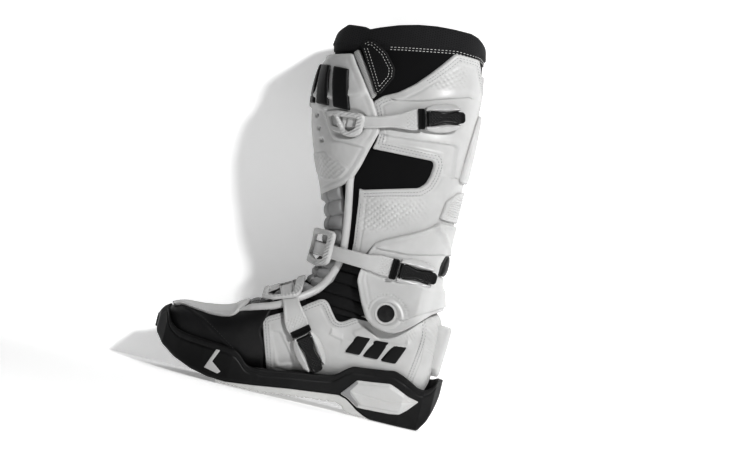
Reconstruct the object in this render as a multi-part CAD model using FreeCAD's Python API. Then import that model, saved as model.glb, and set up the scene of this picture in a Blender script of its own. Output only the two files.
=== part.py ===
import FreeCAD, Part
import math
import os

# Motocross boot for the left foot, as an assembly of its real pieces.
#
# Frame, in millimetres: +Z up, the toe points to -X and the heel to +X, and the outer side of
# the foot, which carries the buckles, faces -Y.  The last step moves everything so that the
# origin is the middle of the footprint, on the floor.
#
# Two smooth bodies carry the whole boot.  The foot body is a loft of upright sections from toe
# to heel.  The shaft body is a loft of level sections from the ankle to the collar.  Every
# lining, shell and panel is a layer between two offsets of one of these bodies, trimmed by an
# outline drawn in the XZ plane.

V = FreeCAD.Vector
OUT = "parts"

# ---------------------------------------------------------------- driving dimensions
BOOT_LENGTH = 304.0      # toe tip to heel, along the floor
BOOT_HEIGHT = 409.0      # floor to the top of the collar
GAP = 0.2                # air between two layers of one body
RUN = 0.4                # air between pieces that move past each other
LINING = 3.0             # padded inner bootie
PANEL = 2.2              # sewn leather and moulded panels of the foot
UNDER_GAP = 4.0          # the outer panels stop this far from the middle line under the foot
SHELL = 3.0              # moulded calf shells
TONGUE = 4.5             # quilted tongue over the instep
SHIN_STANDOFF = 4.0      # room between the lining and the shin plate, for the upper tongue
SHIN_WALL = 3.0
BRACE_WALL = 3.2
BRACE_BULGE = 5.0        # the brace stands off the ankle by this much more below its waist
EAR_INNER = 47.5         # half distance between the flat inner faces of the two ankle ears
PIVOT_R = 4.0            # shank of the ankle bolt
PIVOT_HEAD_R = 8.6
BOSS_R = 11.2            # boss of the foot that carries the bolt
PIN_R = 1.0              # buckle lever pins
HINGE_CLEAR = 0.08       # running clearance of an ear or a lever round its bolt or pin
STRAP = 2.0              # thickness of the moulded straps
CLIP = 3.0               # thickness of the clips at the strap ends
LEVER_LENGTH = 36.0
PIN_U = 8.0              # lever pin, measured along the lever from the adjuster's axis
PIN_N = 4.6              # lever pin, above the buckle's own origin
HINGE_N = 4.4            # strap hinge, above the buckle's own origin

LX = BOOT_LENGTH / 304.0
LZ = BOOT_HEIGHT / 409.0
PIVOT_X, PIVOT_Z = 77.0 * LX, 110.0 * LZ

SHELL_TOP = GAP + SHELL                      # outer face of the calf shells
BRACE_IN = SHELL_TOP + GAP                   # inner face of the brace above its waist
BRACE_TOP = BRACE_IN + BRACE_WALL
SHIN_TOP = SHIN_STANDOFF + SHIN_WALL
STRAP_LIFT = {1: SHIN_TOP + RUN, 2: BRACE_TOP + 2.0, 3: TONGUE + 1.1}

# shaft stations: height, front, rear, half width
SHAFT = [
    (96, -36, 128, 38.0), (108, -22, 127, 39.0), (122, -10, 124, 40.5), (138, -3, 122, 42.5),
    (155, -1, 121, 44.5), (185, -3, 121, 49.0), (215, -12, 121, 53.0), (250, -27, 121, 57.0),
    (290, -40, 121, 60.5), (330, -43, 119, 62.0), (365, -38, 116, 62.0), (416, -33, 106, 60.0),
]
SHAFT_POWER = 2.45
SHAFT_EGG = 0.05         # the calf is this much wider behind than in front

# foot stations: x, bottom, top, half width, centre in y
FOOT = [
    (-141, 42, 56, 13, 7), (-137, 34, 63, 23, 7), (-126, 26, 68, 33, 6.5), (-105, 18, 70, 41, 5),
    (-80, 15, 75, 46, 2), (-55, 16, 89, 48.5, -1), (-30, 19, 105, 47.5, -2),
    (0, 22, 122, 43.5, -1.5), (35, 26, 130, 39.5, 0), (70, 26, 130, 38, 0),
    (100, 25, 127, 37, 0), (120, 26, 122, 33, 0), (130, 30, 116, 26, 0), (134, 38, 108, 17, 0),
]
FOOT_POWER = 2.7
FOOT_MIDDLE = -3.5

# sole plan: x, reach to the outer side, reach to the inner side
SOLE_PLAN = [
    (-152, 0, 12), (-149, 14, 26), (-140, 28, 40), (-122, 41, 50), (-95, 51, 55),
    (-65, 56.5, 54), (-35, 56, 50), (0, 51, 46), (40, 45.5, 43), (80, 43.5, 43.5),
    (115, 42.5, 42.5), (135, 35, 35), (146, 24, 24), (151, 11, 11),
]

# ---------------------------------------------------------------- outlines in the XZ plane
SOLE_UNDER = [
    (-153, 47), (-149, 35), (-140, 24.5), (-125, 15), (-105, 7.5), (-85, 3.5), (-66, 3.2),
    (-40, 6.2), (0, 11.7), (50, 17.2), (57, 15.6), (63, 12), (71, 6.5), (80, 2.2), (87, 0),
    (137, 0), (144, 10), (149, 24), (152, 33), (150, 46), (146, 57),
]
SOLE_NOSE = [(-133, 46), (-139, 56), (-141, 66), (-146, 63), (-151, 55)]
SOLE_OUTER = SOLE_UNDER + [
    (142, 47.5), (137, 44), (128, 43.5), (115, 50), (103, 55), (80, 52.5), (60, 50), (54, 47),
    (43, 37.5), (37, 35), (20, 32), (0, 29.5), (-20, 25.5), (-45, 23.5), (-50, 25), (-56, 32),
    (-62, 36.5), (-70, 38.5), (-90, 39.5), (-110, 40), (-124, 42)] + SOLE_NOSE
SOLE_INNER = SOLE_UNDER + [
    (142, 53), (118, 50), (97, 46), (86, 46), (44, 57), (36, 57.5), (-3, 50), (-10, 45),
    (-22, 34), (-60, 33), (-125, 39)] + SOLE_NOSE
SOLE_INSERT = [
    (-78, 0), (-78, 3.0), (-66, 3.0), (-40, 6.0), (0, 11.5), (50, 17.0), (57, 15.4), (63, 11.8),
    (71, 6.3), (80, 2.0), (86, 0), (62, 0), (58, 3), (54, 7), (50, 8.5), (20, 6.5), (-10, 3.0),
    (-30, 0),
]
HEEL_PLATE = [(51, 19), (65, 36.5), (99, 41), (110, 36), (132, 29.5), (115, 12), (105, 10.5),
              (71, 9), (58, 16.5)]
VAMP = [
    (-143, 66), (-150, 60), (-150, 15), (-29, 15), (-29, 26), (-44.8, 71), (-43.8, 76.4),
    (-40.5, 80.4), (-30, 85.8), (-24, 88.8), (-28, 89.4), (-40, 85), (-60, 79), (-70, 74.5), (-77, 70.5),
    (-90, 67.5), (-110, 67.5), (-128, 69), (-136, 68.5),
]
QUARTER = [
    (-28.3, 18), (-28.3, 25), (-44, 71), (-43, 76), (-40, 79.5), (-12, 94), (8, 108.5),
    (13, 110.5), (18, 107.5), (27, 94.5), (32, 91), (37, 92.5), (47, 99), (56, 104), (66, 104),
    (90, 106), (104, 112), (117, 119.5), (124, 104), (127, 88), (125, 68), (121, 48), (121, 34),
    (60, 34), (40, 20),
]
QUARTER_INNER = [
    (-118, 22), (-130, 45), (-110, 56), (-92, 64), (-70, 74), (-50, 81), (-28, 88.5), (-8, 98),
    (10, 106), (30, 112), (48, 106), (66, 100), (90, 104), (104, 112), (117, 119.5), (124, 104), (127, 88),
    (125, 68), (121, 48), (121, 34), (40, 34), (0, 28), (-30, 20),
]
CAP_OUTER = [(-137, 69.3), (-128, 69.6), (-110, 68.2), (-90, 68.2), (-77, 71.2), (-72, 76),
             (-66, 88), (-62, 110), (-145, 110)]
CAP_INNER = [(-130.6, 45.8), (-110.4, 56.8), (-92.3, 64.8), (-70.3, 74.8), (-62.5, 78),
             (-62, 110), (-145, 110), (-137, 60)]
HEEL_COUNTER = [(117.6, 119.5), (124.6, 104), (127.6, 88), (125.6, 68), (121.6, 48),
                (121.6, 32), (150, 32), (150, 124), (124, 124)]
HEEL_FIN = [(128, 112), (148, 109.5), (149, 92), (147, 62), (139, 58), (128, 66)]
HEEL_BADGE = [[(46, 61), (62, 61), (68, 81), (54, 80)], [(66, 61), (82, 61), (88, 82), (72, 81)],
              [(86, 61), (102, 62), (108, 82), (92, 82)]]
TONGUE_LOW = [(-61.5, 84), (-61.5, 112), (-40, 118), (-22, 128), (4, 128), (-4, 116),
              (-20, 102.5), (-34, 95), (-50, 88)]
TONGUE_FLEX = [(-40, 128.6), (9, 128.6), (9, 150.4), (-40, 150.4)]
TONGUE_HIGH = [(-60, 151), (-60, 352), (-20, 352), (-14, 300), (0, 240), (4, 208), (9, 172),
               (9, 151)]
RAIL_LOW = [(-61.6, 80), (-61.6, 88), (-28, 98), (-8, 113), (5, 128), (13, 138), (20, 135),
            (14, 124), (2, 110), (-12, 99), (-28, 89.7)]
RAIL_HIGH = [(16, 151), (17, 172), (12, 208), (7, 240), (12, 246), (16, 240), (20, 210),
             (25, 172), (25, 151)]
CALF_SHELL = [
    (26.5, 150), (26.5, 170), (25, 185), (21, 215), (19, 225), (78, 242), (84, 247), (88, 256),
    (90, 268), (88, 273), (20, 270.5), (10, 290), (8, 315), (14, 319), (30, 330), (50, 345),
    (62, 358), (73, 370), (84, 385), (109, 386), (113, 378), (119, 360), (126, 345), (126, 150),
]
CALF_SHELL_INNER = [(45, 150), (45, 214), (94, 246), (106, 276), (106, 330), (108, 374),
                    (119, 372), (126, 345), (126, 150)]
BURN_GUARD = [(3, 304), (3, 262), (20, 244), (41, 230), (45, 216.5), (93.4, 247), (105.4, 276.5),
              (105.4, 330), (100, 352), (60, 366), (3, 352)]
INNER_PANEL = [(3, 151), (3, 260), (20, 242.5), (40, 228.5), (44.5, 213), (44.5, 151)]
BRACE = [
    (42, 148), (42, 136), (50, 115), (57, 100.5), (65, 93.5), (77, 90.5), (87, 92), (96, 98.5),
    (119, 120.5), (130, 126.5), (146, 131), (146, 214), (107, 214), (103, 208.5), (96, 203),
    (80, 194.5), (60, 185), (49, 178), (45, 168),
]
EAR = [(42, 148), (42, 136), (50, 115), (57, 100.5), (65, 93.5), (77, 90.5), (87, 92),
       (96, 98.5), (112, 113.8), (112, 148)]
REAR_WINDOW = [(118, 160), (119, 172), (122, 182), (150, 186), (150, 160)]
GRIP_PAD = [(53, 181), (84, 206), (96, 200), (99, 146), (82, 106), (72, 102), (55, 112),
            (52, 150)]
SPINE = [(119, 259), (150, 259), (150, 331), (123, 331), (121, 300)]
ACHILLES = [(108, 215), (111, 237), (121, 248), (150, 254), (150, 215)]
COLLAR = [(-60, 358), (-20, 362), (13, 368), (40, 375), (84, 386), (109, 387), (135, 376),
          (135, 450), (-60, 450)]
COLLAR_TOP = [(-60, 389), (-20, 390), (0, 393), (20, 399), (50, 405), (80, 408.5), (100, 409),
              (114, 404), (140, 396), (140, 450), (-60, 450)]
SHIN_OUTER = [
    (-70, 353), (-20, 361), (-15, 352), (10, 318), (17, 308), (25, 292), (24, 281), (20.5, 268),
    (14.5, 252), (8.5, 237), (0, 226), (-10, 219), (-18, 213.5), (-70, 213.5),
]
SHIN_INNER = [(-70, 353), (-8, 357), (0.5, 345), (0.5, 206), (-18, 206), (-70, 213.5)]
CLOSURE_STRIP = [(-19.5, 361.2), (-16.4, 361.9), (14, 325), (10.5, 319)]
CLOSURE_TAB = [(-14, 368.5), (-8, 378), (2, 376), (10, 371), (17, 362), (24, 350), (27, 343),
               (22, 333), (15, 326)]
STRAP_1 = [(-8, 285), (-8, 299), (8, 301), (25, 304), (42, 312), (56, 321), (60, 322), (64.5, 301),
           (60, 298.5), (38, 296.5), (20, 291)]
STRAP_2 = [(-20, 151.5), (-20, 165), (45, 165), (57, 167), (70, 167), (73, 165), (73, 149),
           (70, 147), (63, 147), (45, 149)]
STRAP_3 = [(-37, 111), (-28, 124), (-20, 113), (-11, 99), (0, 85), (4, 77), (-12, 64.5),
           (-18, 70), (-22, 77), (-27, 92)]
CLIP_1 = ([(-25, 297), (-20, 301), (-9, 301), (3, 303), (8, 300), (8, 284), (3, 278), (-7, 276),
           (-13, 279)], [(-20, 295), (-8, 296), (0, 298), (0, 286), (-5, 281), (-10, 283)])
CLIP_2 = ([(-22, 147), (-22, 172), (-14, 178), (-9, 179), (4, 179), (7, 176), (7, 151),
           (4, 147)], [(-18, 152), (-18, 169), (-12, 173), (1, 173), (1, 152)])
CLIP_3 = ([(-50, 108), (-43, 117), (-29, 131), (-24, 133), (-19, 131), (-12, 112), (-16, 106),
           (-38, 98)], [(-42, 109), (-29, 124), (-25, 124), (-19, 112), (-36, 103)])
RECEIVER_1 = [(-33, 297), (-20, 301), (-9, 300), (-9, 284), (-14, 278), (-24, 279)]
INNER_STRAP_2 = [(-40, 152), (-40, 166), (48, 163), (50, 160), (50, 155), (48, 152)]
INNER_STRAP_3 = [(-50, 100), (-38, 122), (-18, 128), (-4, 112), (22, 110), (24, 104), (20, 98),
                 (-10, 96), (-34, 88)]


# ---------------------------------------------------------------- helpers
def sx(x):
    return x * LX


def sz(z):
    return z * LZ


def smooth_ring(points):
    """Closed smooth wire through the points."""
    curve = Part.BSplineCurve()
    curve.interpolate(Points=points, PeriodicFlag=True)
    return Part.Wire(curve.toShape())


def power(value, exponent):
    return math.copysign(abs(value) ** exponent, value)


def at(table, key, column):
    """Value of a column at key, straight between the rows of a table sorted by column 0."""
    if key <= table[0][0]:
        return table[0][column]
    for low, high in zip(table, table[1:]):
        if key <= high[0]:
            t = (key - low[0]) / (high[0] - low[0])
            return low[column] + t * (high[column] - low[column])
    return table[-1][column]


def shaft_ring(station, offset, count=18):
    """Level section of the shaft: a rounded box, a little wider behind than in front."""
    z, front, rear, half = station
    middle, reach = sx(front + rear) / 2, sx(rear - front) / 2 + offset
    points = []
    for i in range(count):
        a = 2 * math.pi * i / count
        c, s = math.cos(a), math.sin(a)
        y = (half + offset) * power(s, 2 / SHAFT_POWER) * (1 + SHAFT_EGG * c)
        points.append(V(middle + reach * power(c, 2 / SHAFT_POWER), y, sz(z)))
    return smooth_ring(points)


def foot_ring(station, offset, count=18):
    """Upright section of the foot: a rounded box between its bottom and top heights."""
    x, bottom, top, half, centre = station
    stretch = 1 + offset / (sx(FOOT[-1][0] - FOOT[0][0]) / 2)
    place_x = sx(FOOT_MIDDLE) + (sx(x) - sx(FOOT_MIDDLE)) * stretch
    middle, rise = sz(bottom + top) / 2, sz(top - bottom) / 2 + offset
    points = []
    for i in range(count):
        a = 2 * math.pi * i / count
        y = centre + (half + offset) * power(math.cos(a), 2 / FOOT_POWER)
        points.append(V(place_x, y, middle + rise * power(math.sin(a), 2 / FOOT_POWER)))
    return smooth_ring(points)


MADE = {}


def remembered(key, make):
    """Make a helper body once and hand the same one out afterwards."""
    if key not in MADE:
        MADE[key] = make()
    return MADE[key]


def shaft(offset):
    """The shaft body grown by offset."""
    return remembered(("shaft", round(offset, 3)),
                      lambda: Part.makeLoft([shaft_ring(s, offset) for s in SHAFT], True, False))


def foot(offset):
    """The foot body grown by offset."""
    return remembered(("foot", round(offset, 3)),
                      lambda: Part.makeLoft([foot_ring(s, offset) for s in FOOT], True, False))


def shaft_layer(low, high):
    return remembered(("sl", round(low, 3), round(high, 3)), lambda: shaft(high).cut(shaft(low)))


def foot_layer(low, high):
    return remembered(("fl", round(low, 3), round(high, 3)), lambda: foot(high).cut(foot(low)))


def prism(outline, y0=-160.0, y1=160.0):
    """Outline in the XZ plane, run from y0 to y1."""
    ring = [V(sx(x), y0, sz(z)) for x, z in outline]
    return Part.Face(Part.makePolygon(ring + ring[:1])).extrude(V(0, y1 - y0, 0))


def outer_prism(outline, near=0.0):
    return prism(outline, -160.0, -near)


def inner_prism(outline, near=0.0):
    return prism(outline, near, 160.0)


def slab(z0, z1):
    return Part.makeBox(600, 400, z1 - z0, V(-300, -200, z0))


def largest(shape):
    """The biggest solid of a shape, so that a trimmed layer stays one piece."""
    return max(shape.Solids, key=lambda s: s.Volume)


def shaft_width(x, z, offset):
    """Half width of the grown shaft at x and z."""
    front, rear, half = (at(SHAFT, z, i) for i in (1, 2, 3))
    middle, reach = (front + rear) / 2, (rear - front) / 2 + offset
    t = min(0.999, abs((x - middle) / reach))
    lean = 1 + SHAFT_EGG * math.copysign(t ** (SHAFT_POWER / 2), x - middle)
    return (half + offset) * (1 - t ** SHAFT_POWER) ** (1 / SHAFT_POWER) * lean


def foot_width(x, z, offset):
    """How far the grown foot reaches to the outer side at x and z."""
    bottom, top, half, centre = (at(FOOT, x, i) for i in (1, 2, 3, 4))
    t = min(0.999, abs((z - (bottom + top) / 2) / ((top - bottom) / 2 + offset)))
    return (half + offset) * (1 - t ** FOOT_POWER) ** (1 / FOOT_POWER) - centre


def ankle_bore(radius):
    return Part.makeCylinder(radius, 240, V(PIVOT_X, -120, PIVOT_Z), V(0, 1, 0))


PARTS = {}


def keep(name, shape):
    """File a finished piece under its name."""
    solids = [s for s in shape.Solids if s.Volume > 1.0]
    PARTS[name] = solids[0] if len(solids) == 1 else Part.makeCompound(solids)


# ---------------------------------------------------------------- sole
def sole_plan(inset):
    """The sole's outline from above, drawn in by inset, as a tall block."""
    outer, inner = [], []
    for x, to_outer, to_inner in SOLE_PLAN:
        place_x = sx(x) * (1 - 2 * inset / BOOT_LENGTH)
        outer.append(V(place_x, -max(to_outer - inset, -6.0), -5))
        inner.append(V(place_x, max(to_inner - inset, 7.0), -5))
    return Part.Face(smooth_ring(outer + inner[::-1])).extrude(V(0, 0, sz(90)))


def toe_guard(grow=0.0):
    """Small steel plate let into the tip of the toe."""
    disc = Part.makeCylinder(7 + grow, 12, V(sx(-156), 6, sz(46)), V(1, 0, 0))
    return largest(disc.common(sole_plan(-0.4 - grow).cut(sole_plan(1.6 + grow))))


def shank(grow=0.0):
    """Steel strip buried in the waist of the sole."""
    return Part.makeBox(sx(70) + 2 * grow, 26 + 2 * grow, 1.4 + 2 * grow,
                        V(sx(24) - grow, -13 - grow, sz(19.3) - grow))


def build_sole():
    profile = outer_prism(SOLE_OUTER).fuse(inner_prism(SOLE_INNER))
    cup = sole_plan(0.0).common(profile)
    plate = outer_prism(HEEL_PLATE)
    cup = cup.cut([plate.cut(sole_plan(3.0)), foot(PANEL + 2 * GAP), toe_guard(GAP), shank(GAP)])
    keep("sole_cup", largest(cup))
    keep("sole_insert", largest(sole_plan(1.0).common(prism(SOLE_INSERT))))
    inset = outer_prism([(x * 0.992 + 0.7, z * 0.985 + 0.35) for x, z in HEEL_PLATE])
    keep("heel_side_plate", largest(sole_plan(-1.5).common(inset).cut(sole_plan(3.0 - GAP))))
    keep("toe_guard", toe_guard())
    keep("shank", shank())


# ---------------------------------------------------------------- foot linings and uppers
FOOT_TOP = 98.0          # the foot's lining ends here, and the ankle gaiter begins
CALF_FOOT = 150.0        # the calf's lining begins here


def ankle_boss(side):
    """Round boss on a short arm, which carries the ankle bolt beside the ear."""
    y0, y1, face = 34.8, 39.4, EAR_INNER - RUN
    disc = Part.makeCylinder(BOSS_R, face - y0, V(PIVOT_X, side * y0, PIVOT_Z), V(0, side, 0))
    arm = [(67, 86), (87, 86), (87, 110), (67, 110)]
    return disc.fuse(prism(arm, min(side * y1, side * face), max(side * y1, side * face)))


def build_foot_upper():
    skin = foot_layer(-LINING, 0.0)
    lining = skin.common(slab(-10, sz(FOOT_TOP))).cut([shaft(-LINING), ankle_bore(PIVOT_R + GAP)])
    keep("foot_lining", largest(lining))
    bed = [(-139, 46), (-126, 35), (-105, 26), (-80, 23), (-55, 24), (-30, 27), (0, 30),
           (35, 34), (70, 34), (134, 34), (134, 0), (-139, 0)]
    keep("footbed", largest(foot(-LINING - GAP).common(prism(bed))))
    layer = foot_layer(GAP, PANEL + GAP)
    bore = ankle_bore(PIVOT_R)
    keep("toe_vamp", largest(layer.common(outer_prism(VAMP, UNDER_GAP))))
    for name, panel, side in (("quarter_outer", outer_prism(QUARTER, UNDER_GAP), -1),
                              ("quarter_inner", inner_prism(QUARTER_INNER), 1)):
        quarter = layer.common(panel).fuse(ankle_boss(side)).cut(bore)
        keep(name, largest(quarter.removeSplitter()))
    keep("heel_counter", largest(layer.common(prism(HEEL_COUNTER))))
    cap = layer.common(outer_prism(CAP_OUTER).fuse(inner_prism(CAP_INNER)))
    keep("toe_overlay", largest(cap.cut(PARTS["toe_vamp"]).removeSplitter()))
    fin = prism(HEEL_FIN, -24, 24).cut([foot(PANEL + 2 * GAP), PARTS["sole_cup"]])
    keep("heel_fin", largest(fin))
    badge = foot_layer(PANEL + 2 * GAP, PANEL + 2 * GAP + 1.2)
    bars = [outer_prism(bar) for bar in HEEL_BADGE]
    keep("heel_badge", badge.common(bars[0].fuse(bars[1:])))


# ---------------------------------------------------------------- tongue and its moulded rails
def instep(offset, trim):
    """The part inside trim of the foot and ankle bodies grown together."""
    return foot(offset).common(trim).fuse(shaft(offset).common(trim))


def build_tongue():
    skin = [foot(GAP), shaft(GAP)]
    low = instep(TONGUE, prism(TONGUE_LOW, -34, 34)).cut(skin)
    keep("tongue_lower", largest(low))
    band = shaft_layer(GAP, SHIN_STANDOFF - GAP)
    keep("tongue_flex", largest(band.common(prism(TONGUE_FLEX, -34, 34))))
    keep("tongue_upper", largest(band.common(prism(TONGUE_HIGH, -36, 36))))
    for name, cut in (("outer", outer_prism), ("inner", inner_prism)):
        rail = instep(5.0, cut(RAIL_LOW, 34 + GAP)).cut(skin)
        keep("rail_lower_" + name, largest(rail))
        keep("rail_upper_" + name, largest(band.common(cut(RAIL_HIGH, 36 + GAP))))


# ---------------------------------------------------------------- calf
def build_calf():
    ring = shaft_layer(-LINING, 0.0)
    gaiter = ring.common(slab(sz(FOOT_TOP) + 0.5, sz(CALF_FOOT) - 0.5))
    keep("ankle_gaiter", largest(gaiter.cut([ankle_bore(BOSS_R + RUN), foot(PANEL + 2 * GAP)])))
    soft = shaft_layer(-4.0, 5.0).common(prism(COLLAR)).cut(prism(COLLAR_TOP))
    keep("collar", largest(soft))
    roof = prism([(x, z - 0.4) for x, z in COLLAR])
    keep("calf_lining", largest(ring.common(slab(sz(CALF_FOOT), sz(400))).cut(roof)))


def build_shells():
    layer = shaft_layer(GAP, SHELL_TOP).common(slab(sz(149), sz(392)))
    roof = prism([(x, z - 0.4) for x, z in COLLAR])
    outer = layer.common(outer_prism(CALF_SHELL)).cut([roof, PARTS["rail_upper_outer"]])
    keep("calf_shell_outer", largest(outer))
    keep("calf_shell_inner", largest(layer.common(inner_prism(CALF_SHELL_INNER)).cut(roof)))
    keep("burn_guard", largest(layer.common(inner_prism(BURN_GUARD)).cut(roof)))
    panel = layer.common(inner_prism(INNER_PANEL, 36 + 2 * GAP)).cut(PARTS["rail_upper_inner"])
    keep("inner_panel", largest(panel))
    back = shaft_layer(BRACE_IN, BRACE_TOP)
    keep("spine_plate", largest(back.common(prism(SPINE))))
    keep("achilles_panel", largest(back.common(prism(ACHILLES))))


def build_braces():
    """Two halves that wrap the ankle, each with a flat ear that turns on the ankle bolt."""
    upper = shaft_layer(BRACE_IN, BRACE_TOP).common(slab(sz(143), sz(216)))
    lower = shaft_layer(BRACE_IN + BRACE_BULGE, BRACE_TOP + BRACE_BULGE)
    lower = lower.common(Part.makeBox(200, 400, sz(147) - sz(120), V(sx(100), -200, sz(120))))
    ledge = shaft_layer(BRACE_IN, BRACE_TOP + BRACE_BULGE)
    ledge = ledge.common(Part.makeBox(200, 400, 4, V(sx(100), -200, sz(147) - 4)))
    window = prism(REAR_WINDOW)
    for name, cut, side in (("outer", outer_prism, -1), ("inner", inner_prism, 1)):
        skin = upper.fuse([lower, ledge]).common(cut(BRACE, GAP / 2))
        far = side * (EAR_INNER + BRACE_WALL)
        ear = prism(EAR, min(side * EAR_INNER, far), max(side * EAR_INNER, far))
        body = skin.fuse(ear).cut([window, ankle_bore(PIVOT_R + HINGE_CLEAR)])
        keep("brace_" + name, largest(body.removeSplitter()))
    inset = prism([(x + 0.4 if x < 140 else x, z + 0.4 if z < 165 else z - 0.4)
                   for x, z in REAR_WINDOW])
    keep("rear_strap", largest(shaft_layer(BRACE_IN, BRACE_TOP - 0.8).common(inset)))


def build_grip_pad():
    """Studded pad that grips the motorcycle, on the inner side over brace and ear."""
    face = EAR_INNER + BRACE_WALL
    clear = [shaft(BRACE_TOP + GAP), Part.makeBox(600, face + GAP, sz(148), V(-300, 0, 0)),
             Part.makeBox(400, 400, sz(148), V(sx(99.5), -200, 0)),
             Part.makeCylinder(12.0, face + 2.0, V(PIVOT_X, 0, PIVOT_Z), V(0, 1, 0))]
    pad = shaft(BRACE_TOP + BRACE_BULGE + 2.6).common(inner_prism(GRIP_PAD, 20.0)).cut(clear)
    keep("grip_pad", largest(pad))


def build_pivots():
    bolts, rings = [], []
    face = EAR_INNER + BRACE_WALL
    for side in (-1, 1):
        def disc(radius, start, length):
            return Part.makeCylinder(radius, length, V(PIVOT_X, side * start, PIVOT_Z),
                                     V(0, side, 0))
        bolt = disc(PIVOT_R, 34.0, face + 1.2 - 34.0).fuse(
            [disc(PIVOT_HEAD_R, face + RUN, 1.2), disc(PIVOT_HEAD_R, 33.4, 1.2)])
        bolts.append(bolt.removeSplitter())
        rings.append(disc(11.4, face, 1.5).cut(disc(PIVOT_HEAD_R + RUN, face - 1, 4)))
    keep("pivot_bolts", Part.makeCompound(bolts))
    keep("pivot_rings", Part.makeCompound(rings))


# ---------------------------------------------------------------- shin plate
def build_shin():
    layer = shaft_layer(SHIN_STANDOFF, SHIN_TOP).common(slab(sz(196), sz(372)))
    plate = layer.common(outer_prism(SHIN_OUTER).fuse(inner_prism(SHIN_INNER)))
    keep("shin_plate", largest(plate.removeSplitter()))
    raised = shaft_layer(SHIN_TOP + GAP, SHIN_TOP + GAP + 1.8)
    bars = [prism([(-80, z), (-25, z), (-25, z + 9), (-80, z + 9)], -28 + 3 * i, 28 - 3 * i)
            for i, z in enumerate((303, 319, 335))]
    keep("shin_badge", raised.common(bars[0].fuse(bars[1:])))
    keep("strap_receiver", largest(raised.common(outer_prism(RECEIVER_1))))
    strip = layer.common(outer_prism(CLOSURE_STRIP)).cut(PARTS["shin_plate"])
    keep("closure_strip", largest(strip))
    keep("closure_tab", largest(shaft_layer(SHIN_TOP + GAP, SHIN_TOP + GAP + 2.2).common(
        outer_prism(CLOSURE_TAB))))


# ---------------------------------------------------------------- buckles, straps and clips
BUCKLES = {
    # number: x, z, direction of the lever in degrees, half width of the body, its offset
    1: (64.5, 312.0, 16.0, shaft_width, STRAP_LIFT[1] - 2.2),
    2: (74.5, 157.0, 0.0, shaft_width, STRAP_LIFT[2] - 2.2),
    3: (-3.5, 71.0, -53.0, foot_width, STRAP_LIFT[3] - 2.2),
}


def buckle_frame(number):
    """Origin on the adjuster's axis, then u along the lever, w across it and n outwards."""
    x, z, angle, width, offset = BUCKLES[number]
    ca, sa = math.cos(math.radians(angle)), math.sin(math.radians(angle))
    here = width(x, z, offset)
    ahead = width(x + ca * 26, z + sa * 26, offset)
    u = V(sx(ca * 26), here - ahead, sz(sa * 26)).normalize()
    above = width(x - sa * 6, z + ca * 6, offset)
    under = width(x + sa * 6, z - ca * 6, offset)
    w = V(-sx(sa * 12), under - above, sz(ca * 12)).normalize()
    n = w.cross(u).normalize()
    if n.y > 0:
        n = n * -1
    w = n.cross(u)
    return V(sx(x), -here, sz(z)), u, w, n


def place(shape, frame):
    """Move a piece made in a buckle's own frame to its place on the boot."""
    o, u, w, n = frame
    moved = shape.copy()
    moved.transformShape(FreeCAD.Matrix(u.x, w.x, n.x, o.x, u.y, w.y, n.y, o.y,
                                        u.z, w.z, n.z, o.z, 0, 0, 0, 1), True)
    return moved


def plan_block(outline, low, high):
    """Outline in the buckle's own u, w plane, from height low to high."""
    ring = [V(u, w, low) for u, w in outline]
    return Part.Face(Part.makePolygon(ring + ring[:1])).extrude(V(0, 0, high - low))


def cross_pin(radius, half):
    return Part.makeCylinder(radius, 2 * half, V(PIN_U, -half, PIN_N), V(0, 1, 0))


def buckle_base():
    """Plate, two side wings and the two ears that hold the lever pin."""
    end = PIN_U + LEVER_LENGTH - 4
    base = plan_block([(PIN_U - 2.6, -9.8), (PIN_U + 8, -9.8), (end, -7), (end, 7),
                       (PIN_U + 8, 9.8), (PIN_U - 2.6, 9.8)], -12, 1.2)
    for side in (-1, 1):
        wing = plan_block([(PIN_U + 5, side * 7.4), (PIN_U + 12, side * 11.5),
                           (end - 8, side * 12.5), (end + 2, side * 9.5), (end + 2, side * 7.2),
                           (PIN_U + 20, side * 6.2)], -12, 5.0)
        ear = plan_block([(PIN_U - 2.6, side * 7.4), (PIN_U + 6, side * 7.4),
                          (PIN_U + 6, side * 9.8), (PIN_U - 2.6, side * 9.8)], -12, PIN_N + 2.4)
        base = base.fuse([wing, ear])
    return base.cut(cross_pin(PIN_R, 15)).removeSplitter()


def buckle_lever():
    """Waisted lever with a round eye on the pin."""
    side = [(PIN_U, 7.0), (PIN_U + 4, 7.0), (PIN_U + 18, 4.6), (PIN_U + 33, 5.6),
            (PIN_U + LEVER_LENGTH, 4.4)]
    outline = side + [(u, -w) for u, w in side[::-1]]
    eye = cross_pin(2.6, 7.0)
    bar = plan_block(outline, PIN_N - 2.6, PIN_N + 2.4)
    return bar.fuse(eye).cut(cross_pin(PIN_R + HINGE_CLEAR, 15)).removeSplitter()


def adjuster_block():
    """Its lever end stays short and high, so that it clears the brace as the strap swings out."""
    side = [(-4.0, 11.0), (2.4, 11.0), (3.2, 7.0)]
    return plan_block(side + [(u, -w) for u, w in side[::-1]], 2.5, 6.8)


def clip_ring(layer, outlines, y0, y1):
    outer, slot = outlines
    return largest(layer.common(prism(outer, y0, y1)).cut(prism(slot)))


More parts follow.
